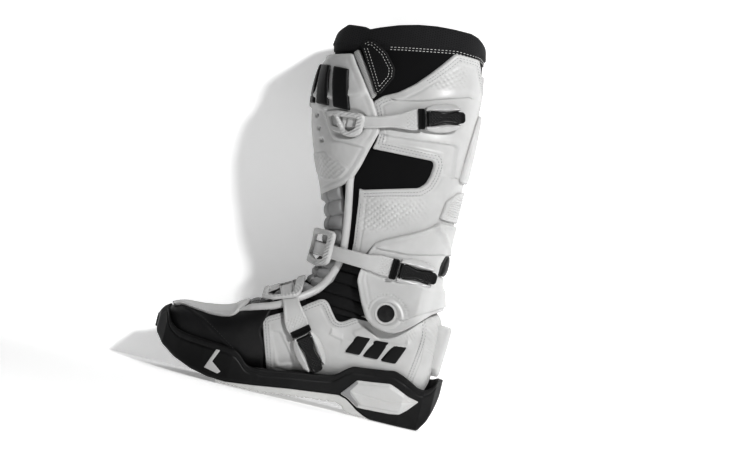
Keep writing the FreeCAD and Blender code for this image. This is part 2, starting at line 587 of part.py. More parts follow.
def build_buckles():
    skins = {1: [shaft(SHELL_TOP + GAP)], 3: [foot(PANEL + 2 * GAP)],
             2: [shaft(BRACE_TOP + GAP), PARTS["brace_outer"]]}
    layers = {1: shaft_layer, 2: shaft_layer, 3: foot_layer}
    outlines = {1: (STRAP_1, CLIP_1, -90, -8), 2: (STRAP_2, CLIP_2, -90, -4),
                3: (STRAP_3, CLIP_3, -60, 10)}
    pins = {}
    for i in (1, 2, 3):
        frame, low = buckle_frame(i), STRAP_LIFT[i]
        strap_outline, clip_outlines, y0, y1 = outlines[i]
        base = place(buckle_base(), frame).cut(skins[i])
        keep("buckle_%d_base" % i, largest(base.cut(PARTS["sole_cup"]) if i == 3 else base))
        keep("buckle_%d_lever" % i, place(buckle_lever(), frame))
        strap = layers[i](low, low + STRAP).common(outer_prism(strap_outline, 2.0))
        keep("strap_%d" % i, largest(strap))
        slot = layers[i](low - 0.6, low + STRAP + GAP).common(outer_prism(strap_outline))
        keep("strap_%d_adjuster" % i, largest(place(adjuster_block(), frame).cut(slot)))
        top = low + STRAP + GAP
        keep("strap_%d_clip" % i, clip_ring(layers[i](top, top + CLIP), clip_outlines, y0, y1))
        pins[i] = place(cross_pin(PIN_R, 9.8), frame)
    keep("calf_lever_pins", Part.makeCompound([pins[1], pins[2]]))
    keep("foot_lever_pin", pins[3])
    low = STRAP_LIFT[2]
    inner = shaft_layer(low, low + STRAP).common(inner_prism(INNER_STRAP_2, -2 + RUN))
    keep("inner_strap_2", largest(inner))
    low = STRAP_LIFT[3]
    inner = foot_layer(low, low + STRAP).common(inner_prism(INNER_STRAP_3, -2 + RUN))
    keep("inner_strap_3", largest(inner.cut(instep(TONGUE + GAP, prism(TONGUE_LOW, -36, 36)))))


WIDEST = ("sole_cup", "toe_guard", "collar", "calf_shell_outer", "burn_guard", "grip_pad",
          "strap_1", "strap_1_adjuster", "buckle_1_base", "buckle_1_lever", "strap_1_clip",
          "strap_2_adjuster", "buckle_2_base", "buckle_2_lever")


def origin_shift():
    """Move that brings the middle of the footprint to the origin, on the floor."""
    corners = [p for name in WIDEST for p in PARTS[name].tessellate(0.05)[0]]
    xs, ys, zs = ([p[i] for p in corners] for i in range(3))
    return V(-(min(xs) + max(xs)) / 2, -(min(ys) + max(ys)) / 2, -min(zs))


def build():
    for step in (build_sole, build_foot_upper, build_tongue, build_calf, build_shells,
                 build_braces, build_grip_pad, build_pivots, build_shin, build_buckles):
        step()
    shift = origin_shift()
    os.makedirs("parts", exist_ok=True)
    for name, shape in PARTS.items():
        moved = shape.copy()
        moved.translate(shift)
        moved.exportStep(os.path.join("parts", name + ".step"))


build()
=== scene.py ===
"""Visual model of a motocross boot for the left foot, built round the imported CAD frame.

Every panel is worked out in millimetres on a carrier surface: foot, shaft, brace, tongue line or a plane.
It is a fine grid inside an outline, lifted off its carrier, with seams, ribs and dimples as relief.
"""
import logging
import math
from dataclasses import dataclass, field
from enum import Enum
from typing import Callable, Optional, Sequence

import bpy
import numpy as np
from mathutils import Matrix, Vector


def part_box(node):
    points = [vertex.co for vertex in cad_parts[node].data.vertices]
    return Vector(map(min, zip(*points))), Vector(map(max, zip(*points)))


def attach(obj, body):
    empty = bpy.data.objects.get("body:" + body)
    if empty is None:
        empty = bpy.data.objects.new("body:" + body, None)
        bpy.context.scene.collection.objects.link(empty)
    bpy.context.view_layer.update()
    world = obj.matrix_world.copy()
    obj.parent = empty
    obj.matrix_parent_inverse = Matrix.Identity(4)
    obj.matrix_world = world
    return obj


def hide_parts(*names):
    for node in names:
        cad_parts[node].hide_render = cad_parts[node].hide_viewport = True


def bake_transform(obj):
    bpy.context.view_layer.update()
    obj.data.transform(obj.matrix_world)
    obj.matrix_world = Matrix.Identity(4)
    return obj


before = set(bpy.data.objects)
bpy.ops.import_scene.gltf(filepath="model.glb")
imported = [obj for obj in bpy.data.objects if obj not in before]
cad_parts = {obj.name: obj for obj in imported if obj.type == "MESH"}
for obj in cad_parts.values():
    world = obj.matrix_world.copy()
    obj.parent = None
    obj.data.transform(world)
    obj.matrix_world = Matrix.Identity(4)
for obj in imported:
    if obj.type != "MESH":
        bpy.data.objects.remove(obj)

LOG = logging.getLogger("boot")
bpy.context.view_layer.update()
Array = np.ndarray
Relief = Callable[[Array, Array, Array], Array]
MM = 0.001
PIVOT = np.array([77.0, 0.0, 110.0])
FAR_FROM_RIM = 9.0  # rim distance given to bodies that have no rim to wear
LEAST_WALL = 0.25  # thinnest that relief may leave a panel
CRISP = 0.9  # reach of a crease's steep side
ROWS_AT_ONCE = 4000  # points compared with an outline in one go, which bounds the memory


def frame_shift() -> Array:
    """Offset from the working millimetres to the frame, found from the rings round the ankle bolts."""
    low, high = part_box("pivot_rings")
    return (np.array(low) + np.array(high)) / 2 / MM - PIVOT


SHIFT = frame_shift()


class Side(Enum):
    """Side of the boot; the outer side carries the buckles."""
    OUTER = -1
    INNER = 1


# ------------------------------------------------------------------ curves and planar outlines
def hermite(xs: Array, ys: Array, x: Array) -> Array:
    """Smooth curve through stations: cubic pieces whose slopes are the centred differences of the stations.

    Args:
        xs: rising station places.
        ys: values there.
        x: places to read.
    Returns:
        The values at x.
    """
    slope = np.gradient(ys, xs)
    i = np.clip(np.searchsorted(xs, x) - 1, 0, len(xs) - 2)
    h = xs[i + 1] - xs[i]
    t = np.clip((x - xs[i]) / h, -0.2, 1.2)
    a, b = 2 * t ** 3 - 3 * t ** 2 + 1, t ** 3 - 2 * t ** 2 + t
    c, d = -2 * t ** 3 + 3 * t ** 2, t ** 3 - t ** 2
    return a * ys[i] + b * h * slope[i] + c * ys[i + 1] + d * h * slope[i + 1]


def ease(t: Array) -> Array:
    """Smooth step: 3t^2 - 2t^3 of t held between 0 and 1."""
    t = np.clip(t, 0.0, 1.0)
    return t * t * (3 - 2 * t)


def resample(points: Array, step: float, closed: bool = True) -> Array:
    """Points spaced evenly by arc length along a polyline.

    Args:
        points: corners of the polyline.
        step: wanted spacing.
        closed: whether the last point joins the first.
    Returns:
        The new points.
    """
    ring = np.vstack([points, points[:1]]) if closed else points
    along = np.concatenate([[0.0], np.cumsum(np.linalg.norm(np.diff(ring, axis=0), axis=1))])
    count = max(4, int(round(along[-1] / step)))
    at = np.linspace(0.0, along[-1], count, endpoint=not closed)
    return np.stack([np.interp(at, along, ring[:, k]) for k in range(ring.shape[1])], axis=1)


def soften(points: Array, window: int, closed: bool = True) -> Array:
    """Rounds corners: each point becomes the mean of the window points before and after it."""
    if window < 1:
        return points
    pad = "wrap" if closed else "edge"
    padded = np.pad(points, ((window, window), (0, 0)), mode=pad)
    summed = np.cumsum(np.vstack([np.zeros((1, points.shape[1])), padded]), axis=0)
    width = 2 * window + 1
    out = (summed[width:] - summed[:-width]) / width
    if not closed:
        out[0], out[-1] = points[0], points[-1]
    return out


def is_inside(ring: Array, points: Array) -> Array:
    """Even-odd test: counts the ring's edges that a ray to the right of each point crosses."""
    a, b = ring, np.roll(ring, -1, axis=0)
    result = np.zeros(len(points), bool)
    for start in range(0, len(points), ROWS_AT_ONCE):
        rows = slice(start, start + ROWS_AT_ONCE)
        x, y = points[rows, :1], points[rows, 1:]
        spans = (a[:, 1] > y) != (b[:, 1] > y)
        rise = np.where(b[:, 1] == a[:, 1], 1e-9, b[:, 1] - a[:, 1])
        cross = (b[:, 0] - a[:, 0]) * (y - a[:, 1]) / rise + a[:, 0]
        result[rows] = (spans & (x < cross)).sum(axis=1) % 2 == 1
    return result


def nearest(line: Array, points: Array, closed: bool = True) -> tuple[Array, Array]:
    """Distance from each point to a polyline, and the nearest point on it.

    Args:
        line: corners of the polyline.
        points: points to measure from.
        closed: whether the polyline is a ring.
    Returns:
        Distances and nearest points.
    """
    a = line if closed else line[:-1]
    b = np.roll(line, -1, axis=0) if closed else line[1:]
    edge = b - a
    size = np.maximum((edge ** 2).sum(axis=1), 1e-12)
    best, where = np.full(len(points), 1e9), np.zeros((len(points), 2))
    for start in range(0, len(points), ROWS_AT_ONCE):
        rows = slice(start, start + ROWS_AT_ONCE)
        p = points[rows, None, :]
        t = np.clip(((p - a) * edge).sum(axis=2) / size, 0.0, 1.0)
        on_edge = a + t[..., None] * edge
        d = np.linalg.norm(p - on_edge, axis=2)
        k = d.argmin(axis=1)
        each = np.arange(len(k))
        best[rows], where[rows] = d[each, k], on_edge[each, k]
    return best, where


# ------------------------------------------------------------------ carrier surfaces
class Carrier:
    """A smooth surface with two parameters in millimetres and an offset along its own outward direction."""
    turn: int = -1

    def point(self, u: Array, v: Array, off: Array) -> Array:
        """Points at parameters u, v, lifted by off."""
        raise NotImplementedError

    def locate(self, x: Array, z: Array, side: float, off: float) -> Array:
        """Parameters of the point seen at x, z from one side."""
        raise NotImplementedError

    def trace(self, outline: Sequence[tuple], side: Side = Side.OUTER, off: float = 3.0, soft: int = 2,
              wrap: bool = False, closed: bool = True) -> Array:
        """Carries a side-view outline onto the surface.

        Args:
            outline: corners as (x, z), or (x, z, side) where the outline changes side.
            side: side used for corners that name none.
            off: offset at which the outline is seen.
            soft: corner rounding, in millimetres each way.
            wrap: runs the parameter on round the back instead of jumping there.
            closed: whether the outline is a ring.
        Returns:
            Points in the surface's own parameters, a millimetre apart.
        """
        rows = np.array([(p[0], p[1], p[2] if len(p) > 2 else side.value) for p in outline], float)
        ring = np.vstack([rows, rows[:1]]) if closed else rows
        pieces = []
        for a, b in zip(ring[:-1], ring[1:]):
            n = max(2, int(np.hypot(*(b - a)[:2]) / 1.0))
            t = np.linspace(0, 1, n, endpoint=False)[:, None]
            pieces.append(np.hstack([a[:2] + t * (b - a)[:2], np.full((n, 1), a[2])]))
        if not closed:
            pieces.append(ring[-1:])
        dense = np.vstack(pieces)
        uv = self.locate(dense[:, 0], dense[:, 1], dense[:, 2], off)
        if wrap:
            uv[:, 0] = np.where(uv[:, 0] < 0, uv[:, 0] + 2 * math.pi * self.radius, uv[:, 0])
        return soften(resample(uv, 1.0, closed), soft, closed)

    def normal(self, u: Array, v: Array, off: Array) -> Array:
        """Outward unit normals, from small steps along both parameters."""
        e = 0.3
        du = self.point(u + e, v, off) - self.point(u - e, v, off)
        dv = self.point(u, v + e, off) - self.point(u, v - e, off)
        n = np.cross(du, dv) * self.turn
        return n / np.maximum(np.linalg.norm(n, axis=1, keepdims=True), 1e-9)


SHAFT_ROWS = np.array([
    (96, -36, 128, 38.0), (108, -22, 127, 39.0), (122, -10, 124, 40.5), (138, -3, 122, 42.5),
    (155, -1, 121, 44.5), (185, -3, 121, 49.0), (215, -12, 121, 53.0), (250, -27, 121, 57.0),
    (290, -40, 121, 60.5), (330, -43, 119, 62.0), (365, -38, 116, 62.0), (416, -33, 106, 60.0)], float)
FOOT_ROWS = np.array([
    (-142.6, 47, 52, 4, 7), (-141, 42, 56, 13, 7), (-137, 34, 63, 23, 7), (-126, 26, 68, 33, 6.5),
    (-105, 18, 70, 41, 5), (-80, 15, 75, 46, 2), (-55, 16, 89, 48.5, -1), (-30, 19, 105, 47.5, -2),
    (0, 22, 122, 43.5, -1.5), (35, 26, 130, 39.5, 0), (70, 26, 130, 38, 0), (100, 25, 127, 37, 0),
    (120, 26, 122, 33, 0), (130, 30, 116, 26, 0), (134, 38, 108, 17, 0), (135.6, 55, 92, 8, 0),
    (136.0, 68, 80, 3, 0)], float)
TONGUE_ROWS = np.array([
    (-61.5, 84.6, 48, 36), (-45, 95.5, 48, 40), (-30, 104.5, 47.5, 43), (-18, 111.5, 45, 48),
    (-10, 119, 42, 58), (-5.5, 128, 41.5, 64), (-3, 138, 42.5, 63), (-1, 155, 44.5, 61), (-3, 185, 49, 62),
    (-12, 215, 53, 66), (-27, 250, 57, 74), (-40, 290, 60.5, 80), (-43, 330, 62, 81),
    (-40, 352, 62, 78)], float)


@dataclass(frozen=True)
class ShaftSurface(Carrier):
    """Calf and ankle: level superellipse sections, a little wider behind; u runs round, v is the height."""
    power: float = 2.45
    egg: float = 0.05
    radius: float = 56.0

    def section(self, v: Array) -> tuple[Array, Array, Array]:
        """Middle, reach and half width of the level section at height v."""
        front, rear, half = (hermite(SHAFT_ROWS[:, 0], SHAFT_ROWS[:, k], v) for k in (1, 2, 3))
        return (front + rear) / 2, (rear - front) / 2, half

    def point(self, u: Array, v: Array, off: Array) -> Array:
        """Direction angle u/radius from the front; distance from the middle solves |x/a|^p + |y/b|^p = 1."""
        middle, reach, half = self.section(v)
        angle, a, b = u / self.radius, reach + off, half + off
        c, s, p = np.cos(angle), np.sin(angle), self.power
        r = (np.abs(c / a) ** p + np.abs(s / b) ** p) ** (-1 / p)
        dx = -r * c
        lean = 1 + self.egg * np.sign(dx) * np.abs(dx / a) ** (p / 2)
        return np.stack([middle + dx, r * s * lean, v + 0 * u], axis=1)

    def locate(self, x: Array, z: Array, side: float, off: float) -> Array:
        """Inverse of point for a place seen from the side, held inside the silhouette."""
        middle, reach, half = self.section(z)
        a, b, p = reach + off, half + off, self.power
        t = np.clip((x - middle) / a, -1, 1)
        y = b * (1 - np.abs(t) ** p) ** (1 / p)
        return np.stack([np.arctan2(side * y, -t * a) * self.radius, z], axis=1)


@dataclass(frozen=True)
class BraceSurface(ShaftSurface):
    """The shaft, swollen below its waist and flattened beside the ankle bolts."""
    swell: float = 5.0
    ear: float = 44.1

    def point(self, u: Array, v: Array, off: Array) -> Array:
        """Shaft point, pushed out by swell below the waist, its sides drawn to flat ears at ear + off."""
        low = ease((153 - v) / 10)
        p = super().point(u, v, off + self.swell * low)
        flat = low * ease((122 - p[:, 0]) / 16)
        reach = np.abs(p[:, 1])
        p[:, 1] = np.sign(p[:, 1]) * (reach + (self.ear + off - reach) * flat)
        return p


@dataclass(frozen=True)
class FootSurface(Carrier):
    """Foot: upright superellipse sections; u runs round from the top, v is the length along the foot."""
    power: float = 2.7
    radius: float = 42.0
    middle: float = -3.5
    half_length: float = 137.5

    @property
    def along(self) -> Array:
        """Place of each station by the path length of its corner, so that cells stay even at toe and heel."""
        step = np.diff(FOOT_ROWS, axis=0)
        size = np.sqrt(step[:, 0] ** 2 + step[:, 3] ** 2 + (step[:, 2] / 2) ** 2)
        return np.concatenate([[0.0], np.cumsum(size)])

    def station(self, v: Array) -> tuple[Array, ...]:
        """Place x, middle height, half height, half width and centre of the section at v."""
        x, low, top, half, centre = (hermite(self.along, FOOT_ROWS[:, k], v) for k in range(5))
        return x, (low + top) / 2, (top - low) / 2, half, centre

    def point(self, u: Array, v: Array, off: Array) -> Array:
        """Direction angle u/radius from the top; distance from the middle solves |z/a|^p + |y/b|^p = 1."""
        x, middle, rise, half, centre = self.station(v)
        x = self.middle + (x - self.middle) * (1 + off / self.half_length)
        a, b, p = rise + off, half + off, self.power
        c, s = np.cos(u / self.radius), np.sin(u / self.radius)
        r = (np.abs(c / a) ** p + np.abs(s / b) ** p) ** (-1 / p)
        return np.stack([x, centre + r * s, middle + r * c], axis=1)

    def locate(self, x: Array, z: Array, side: float, off: float) -> Array:
        """Inverse of point for a place seen from the side, held inside the silhouette."""
        x = self.middle + (x - self.middle) / (1 + off / self.half_length)
        v_dense = np.linspace(0, self.along[-1], 1200)
        v = np.interp(x, self.station(v_dense)[0], v_dense)
        _, middle, rise, half, _ = self.station(v)
        a, b, p = rise + off, half + off, self.power
        t = np.clip((z - middle) / a, -1, 1)
        y = b * (1 - np.abs(t) ** p) ** (1 / p)
        return np.stack([np.arctan2(side * y, t * a) * self.radius, v], axis=1)


@dataclass(frozen=True)
class TongueSurface(Carrier):
    """Instep and shin in one: a profile line up the front, with a section that drops away to both sides."""
    power: float = 2.5
    radius: float = 50.0

    @property
    def along(self) -> Array:
        """Path length of the profile line at its stations."""
        return np.concatenate([[0.0], np.cumsum(np.linalg.norm(np.diff(TONGUE_ROWS[:, :2], axis=0), axis=1))])

    def at_height(self, z: float) -> float:
        """Length along the profile line at height z."""
        return float(np.interp(z, TONGUE_ROWS[:, 1], self.along))

    def point(self, u: Array, v: Array, off: Array) -> Array:
        """Profile point, moved sideways by w |sin|^(2/p) and back by d (1 - |cos|^(2/p)), angle u/radius."""
        x, z, w, d = (hermite(self.along, TONGUE_ROWS[:, k], v) for k in range(4))
        e = 0.5
        tx = hermite(self.along, TONGUE_ROWS[:, 0], v + e) - hermite(self.along, TONGUE_ROWS[:, 0], v - e)
        tz = hermite(self.along, TONGUE_ROWS[:, 1], v + e) - hermite(self.along, TONGUE_ROWS[:, 1], v - e)
        size = np.hypot(tx, tz)
        nx, nz = -tz / size, tx / size
        c, s = np.cos(u / self.radius), np.sin(u / self.radius)
        a, b, q = d + off, w + off, 2 / self.power
        back = off - a * (1 - np.abs(c) ** q)
        return np.stack([x + nx * back, b * np.sign(s) * np.abs(s) ** q, z + nz * back], axis=1)


@dataclass(frozen=True)
class PlaneSurface(Carrier):
    """A flat local frame: origin, two directions in the plane and the outward one."""
    origin: tuple[float, float, float]
    along: tuple[float, float, float]
    across: tuple[float, float, float]
    out: tuple[float, float, float]
    turn: int = 1

    def point(self, u: Array, v: Array, off: Array) -> Array:
        """Origin plus u along, v across and off outwards."""
        o, a, b, n = (np.array(k) for k in (self.origin, self.along, self.across, self.out))
        off = np.broadcast_to(off, np.shape(u))
        return o + np.outer(u, a) + np.outer(v, b) + np.outer(off, n)


SHAFT = ShaftSurface()
BRACE = BraceSurface()
FOOT = FootSurface()
TONGUE = TongueSurface()


# ------------------------------------------------------------------ meshes
def make_mesh(name: str, points: Array, faces: Sequence[Array], uv: Optional[Array] = None,
              rim: Optional[Array] = None, sharp: float = 55.0) -> bpy.types.Object:
    """Puts whole arrays of points and faces into a new object, in metres and in the frame.

    Args:
        name: name of the piece.
        points: points in working millimetres.
        faces: arrays of faces with one corner count each.
        uv: surface parameters of each point, for patterns.
        rim: distance of each point from its panel's edge, for wear.
        sharp: edges that turn by more than this many degrees stay crisp.
    Returns:
        The new object.
    """
    mesh = bpy.data.meshes.new(name)
    faces = [np.asarray(f, np.int32) for f in faces if len(f)]
    loops = np.concatenate([f.ravel() for f in faces])
    counts = np.concatenate([np.full(len(f), f.shape[1]) for f in faces])
    mesh.vertices.add(len(points))
    mesh.vertices.foreach_set("co", ((points + SHIFT) * MM).astype(np.float32).ravel())
    mesh.loops.add(len(loops))
    mesh.loops.foreach_set("vertex_index", loops)
    mesh.polygons.add(len(counts))
    mesh.polygons.foreach_set("loop_start", np.concatenate([[0], np.cumsum(counts)[:-1]]).astype(np.int32))
    mesh.polygons.foreach_set("use_smooth", np.ones(len(counts), bool))
    mesh.update(calc_edges=True)
    if uv is not None:
        layer = mesh.uv_layers.new(name="surface")
        layer.data.foreach_set("uv", (uv[loops] * MM).astype(np.float32).ravel())
    if rim is not None:
        mesh.attributes.new("rim", "FLOAT", "POINT").data.foreach_set("value", rim.astype(np.float32))
    mesh.set_sharp_from_angle(angle=math.radians(sharp))
    obj = bpy.data.objects.new(name, mesh)
    bpy.context.scene.collection.objects.link(obj)
    return obj


@dataclass
class Patch:
    """A grid of cells cut to an outline, in the carrier's parameters."""
    points: Array
    cells: Array
    border: Array
    distance: Array


def rim_edges(cells: Array) -> Array:
    """Directed edges that only one cell uses."""
    edges = np.concatenate([np.stack([cells[:, k], cells[:, (k + 1) % 4]], axis=1) for k in range(4)])
    top = int(cells.max()) + 1
    key, back = edges[:, 0] * top + edges[:, 1], edges[:, 1] * top + edges[:, 0]
    return edges[~np.isin(key, back)]


def cut_patch(outline: Array, step: float, holes: Sequence[Array] = ()) -> Patch:
    """Fills an outline with square cells and draws the cells' rim onto the outline.

    Args:
        outline: ring of points.
        step: size of a cell.
        holes: rings to leave open.
    Returns:
        The patch, with each point's distance from the rim.
    """
    low, high = outline.min(axis=0), outline.max(axis=0)
    n = np.maximum(np.ceil((high - low) / step).astype(int), 2)
    us, vs = (np.linspace(low[k], high[k], n[k] + 1) for k in (0, 1))
    grid_u, grid_v = np.meshgrid(us, vs, indexing="ij")
    points = np.stack([grid_u.ravel(), grid_v.ravel()], axis=1)
    index = np.arange(len(points)).reshape(grid_u.shape)
    cells = np.stack([index[:-1, :-1], index[1:, :-1], index[1:, 1:], index[:-1, 1:]], axis=-1).reshape(-1, 4)
    centre = points[cells].mean(axis=1)
    keep = is_inside(outline, centre)
    for hole in holes:
        keep &= ~is_inside(hole, centre)
    cells = cells[keep]
    for _ in range(3):
        edges = rim_edges(cells)
        crossings = np.bincount(edges.ravel(), minlength=len(points)) > 2
        bad = crossings[cells].any(axis=1)
        if not bad.any():
            break
        cells = cells[~bad]
    used, inverse = np.unique(cells, return_inverse=True)
    points, cells = points[used].copy(), inverse.reshape(-1, 4)
    border = rim_edges(cells)
    on_rim = np.unique(border)
    loops = [outline, *holes]
    found = [nearest(loop, points[on_rim]) for loop in loops]
    best = np.argmin([f[0] for f in found], axis=0)
    points[on_rim] = np.stack([f[1] for f in found])[best, np.arange(len(on_rim))]
    inner = np.ones(len(points), bool)
    inner[on_rim] = False
    links = np.concatenate([cells[:, [0, 1]], cells[:, [1, 2]], cells[:, [2, 3]], cells[:, [3, 0]]])
    for _ in range(2):
        total, count = np.zeros_like(points), np.zeros(len(points))
        for a, b in ((0, 1), (1, 0)):
            np.add.at(total, links[:, a], points[links[:, b]])
            np.add.at(count, links[:, a], 1)
        points[inner] = (0.5 * points + 0.5 * total / np.maximum(count, 1)[:, None])[inner]
    distance = np.min([nearest(loop, points)[0] for loop in loops], axis=0)
    distance[on_rim] = 0.0
    return Patch(points, cells, border, distance)


def panel(name: str, carrier: Carrier, outline: Array, base: float, thick: float, step: float = 1.2,
          edge: float = 1.0, relief: Optional[Relief] = None, holes: Sequence[Array] = (),
          sharp: float = 55.0,
          floor: Optional[Relief] = None) -> bpy.types.Object:
    """Closed panel on a carrier: its top is base + thick + relief, rounded to the rim by a quarter circle.

    Args:
        name: name of the piece.
        carrier: surface that it lies on.
        outline: ring in the carrier's parameters.
        base: offset of its under side.
        thick: thickness away from the rim.
        step: cell size.
        edge: radius of the rounded rim.
        relief: extra height at (u, v, distance from the rim).
        holes: openings in the panel.
        sharp: crease angle.
        floor: extra offset of both sides at (u, v, distance).
    Returns:
        The panel's object.
    """
    patch = cut_patch(outline, step, holes)
    u, v, d = patch.points[:, 0], patch.points[:, 1], patch.distance
    r = min(edge, thick * 0.85)
    curve = thick - r + np.sqrt(np.maximum(r * r - np.maximum(r - d, 0.0) ** 2, 0.0))
    lift = np.zeros(len(u)) if floor is None else floor(u, v, d)
    extra = 0.0 if relief is None else relief(u, v, d)
    top = carrier.point(u, v, base + lift + np.maximum(curve + extra, LEAST_WALL))
    under = carrier.point(u, v, base + lift)
    count = len(u)
    a, b = patch.border[:, 0], patch.border[:, 1]
    wall = np.stack([b, a, a + count, b + count], axis=1)
    faces = np.concatenate([patch.cells, patch.cells[:, ::-1] + count, wall])
    if carrier.turn < 0:
        faces = faces[:, ::-1]
    twice = np.concatenate([patch.points, patch.points])
    return make_mesh(name, np.concatenate([top, under]), [faces], twice, np.concatenate([d, d]), sharp)


def ring_shell(name: str, points: Array, uv: Array, sharp: float = 55.0) -> bpy.types.Object:
    """Ring-shaped skin through points of shape (n, m, 3), joined up along both parameters."""
    n, m = points.shape[:2]
    a, b = np.meshgrid(np.arange(n), np.arange(m), indexing="ij")
    a2, b2 = (a + 1) % n, (b + 1) % m
    quads = np.stack([a * m + b2, a2 * m + b2, a2 * m + b, a * m + b], axis=-1).reshape(-1, 4)
    return make_mesh(name, points.reshape(-1, 3), [quads], uv.reshape(-1, 2), np.full(n * m, FAR_FROM_RIM),
                     sharp)


# ------------------------------------------------------------------ relief
def line_bump(line: Array, height: float, width: float) -> Relief:
    """Rib or groove along a polyline: height times exp(-(distance / width)^2)."""
    def shape(u: Array, v: Array, d: Array) -> Array:
        gap = nearest(line, np.stack([u, v], axis=1), closed=False)[0]
        return height * np.exp(-(gap / width) ** 2)
    return shape


def swage(line: Array, height: float, fade: float) -> Relief:
    """Crease with one crisp side: height on the line, gone within CRISP below it and over fade above it."""
    def shape(u: Array, v: Array, d: Array) -> Array:
        gap, on_line = nearest(line, np.stack([u, v], axis=1), closed=False)
        above = v > on_line[:, 1]
        return height * np.where(above, np.exp(-(gap / fade) ** 2), np.exp(-(gap / CRISP) ** 2)) * ease(d / 6)
    return shape


def rim_bump(at: float, height: float, width: float) -> Relief:
    """Rib or groove that keeps one distance from the rim."""
    return lambda u, v, d: height * np.exp(-((d - at) / width) ** 2)


def dots(ring: Optional[Array], pitch: float, radius: float, height: float, fade: float = 2.0) -> Relief:
    """Staggered dots where cos(2 pi u / pitch) cos(2 pi v / pitch) passes its value a radius off a peak."""
    turn = 2 * np.pi / pitch
    foot = math.cos(turn * radius)

    def shape(u: Array, v: Array, d: Array) -> Array:
        dot = height * np.clip((np.cos(turn * u) * np.cos(turn * v) - foot) / (1 - foot), 0, 1)
        if ring is None:
            return dot
        p = np.stack([u, v], axis=1)
        return dot * is_inside(ring, p) * np.clip(nearest(ring, p)[0] / fade, 0, 1)
    return shape


def plateau(ring: Array, height: float, width: float) -> Relief:
    """Raised or sunken field inside a ring, with a slope of the given width."""
    def shape(u: Array, v: Array, d: Array) -> Array:
        p = np.stack([u, v], axis=1)
        gap = nearest(ring, p)[0] * np.where(is_inside(ring, p), 1, -1)
        return height * ease(0.5 + gap / width)
    return shape


def add_up(*reliefs: Relief) -> Relief:
    """Sum of several reliefs."""
    return lambda u, v, d: sum(r(u, v, d) for r in reliefs)


# ------------------------------------------------------------------ thread
def thread(name: str, carrier: Carrier, lines: Sequence[Array], off: float, pitch: float = 3.4,
           length: float = 2.3,
           width: float = 0.75, height: float = 0.5) -> bpy.types.Object:
    """Row of stitches: one small rounded bar, copied at even steps along lines on a carrier.

    Args:
        name: name of the piece.
        carrier: surface that the lines lie on.
        lines: open polylines in its parameters.
        off: offset of the sewn face.
        pitch: step from stitch to stitch.
        length: length of a stitch.
        width: width of a stitch.
        height: how far it stands proud.
    Returns:
        The object that holds all the stitches.
    """
    bar = np.array([(s * x, y, z) for s, x in ((-1, 0.5), (-1, 0.3), (1, 0.3), (1, 0.5))
                    for y, z in ((-0.5, -0.3), (0.5, -0.3), (0.3, 1.0), (-0.3, 1.0))], float)
    bar[[0, 1, 2, 3, 12, 13, 14, 15], 2] *= 0.3
    bar *= (length, width, height)
    quads = [(k * 4 + j, k * 4 + (j + 1) % 4, k * 4 + 4 + (j + 1) % 4, k * 4 + 4 + j) for k in range(3)
             for j in range(4)]
    quads += [(3, 2, 1, 0), (12, 13, 14, 15)]
    quads = np.array(quads)[:, ::-1]
    middles, frames = [], []
    for line in lines:
        path = resample(line, pitch, closed=False)
        u, v = path[:, 0], path[:, 1]
        p, n = carrier.point(u, v, off), carrier.normal(u, v, off)
        t = np.gradient(p, axis=0)
        t /= np.maximum(np.linalg.norm(t, axis=1, keepdims=True), 1e-9)
        frames.append(np.stack([t, np.cross(n, t), n], axis=1)[1:-1])
        middles.append(p[1:-1])
    centre, axes = np.concatenate(middles), np.concatenate(frames)
    points = centre[:, None, :] + np.einsum("kj,njc->nkc", bar, axes)
    faces = (quads[None] + (np.arange(len(centre)) * 16)[:, None, None]).reshape(-1, 4)
    return make_mesh(name, points.reshape(-1, 3), [faces], None, None, 80.0)


def inset_line(ring: Array, inset: float, start: float = 0.0, end: float = 1.0) -> Array:
    """Line that keeps one distance inside a ring, over a share of its length from start to end.

    Args:
        ring: closed outline.
        inset: distance from it.
        start: where the line begins, as a share of the ring.
        end: where it ends.
    Returns:
        Open polyline.
    """
    tangent = np.roll(ring, -1, axis=0) - np.roll(ring, 1, axis=0)
    tangent /= np.maximum(np.linalg.norm(tangent, axis=1, keepdims=True), 1e-9)
    normal = np.stack([-tangent[:, 1], tangent[:, 0]], axis=1)
    area = (ring[:, 0] * np.roll(ring[:, 1], -1) - np.roll(ring[:, 0], -1) * ring[:, 1]).sum()
    moved = ring + normal * inset * (1 if area > 0 else -1)
    count = len(ring)
    picks = np.arange(int(start * count), int(end * count)) % count
    line = moved[picks]
    return line[nearest(ring, line)[0] > inset * 0.93]


# ------------------------------------------------------------------ finishes
class Grain(Enum):
    """Small-scale texture of a finish."""
    SATIN = "satin"
    LEATHER = "leather"
    WEAVE = "weave"
    MESH = "mesh"
    RIBS = "ribs"
    QUILT = "quilt"
    RUBBER = "rubber"
    BRUSHED = "brushed"


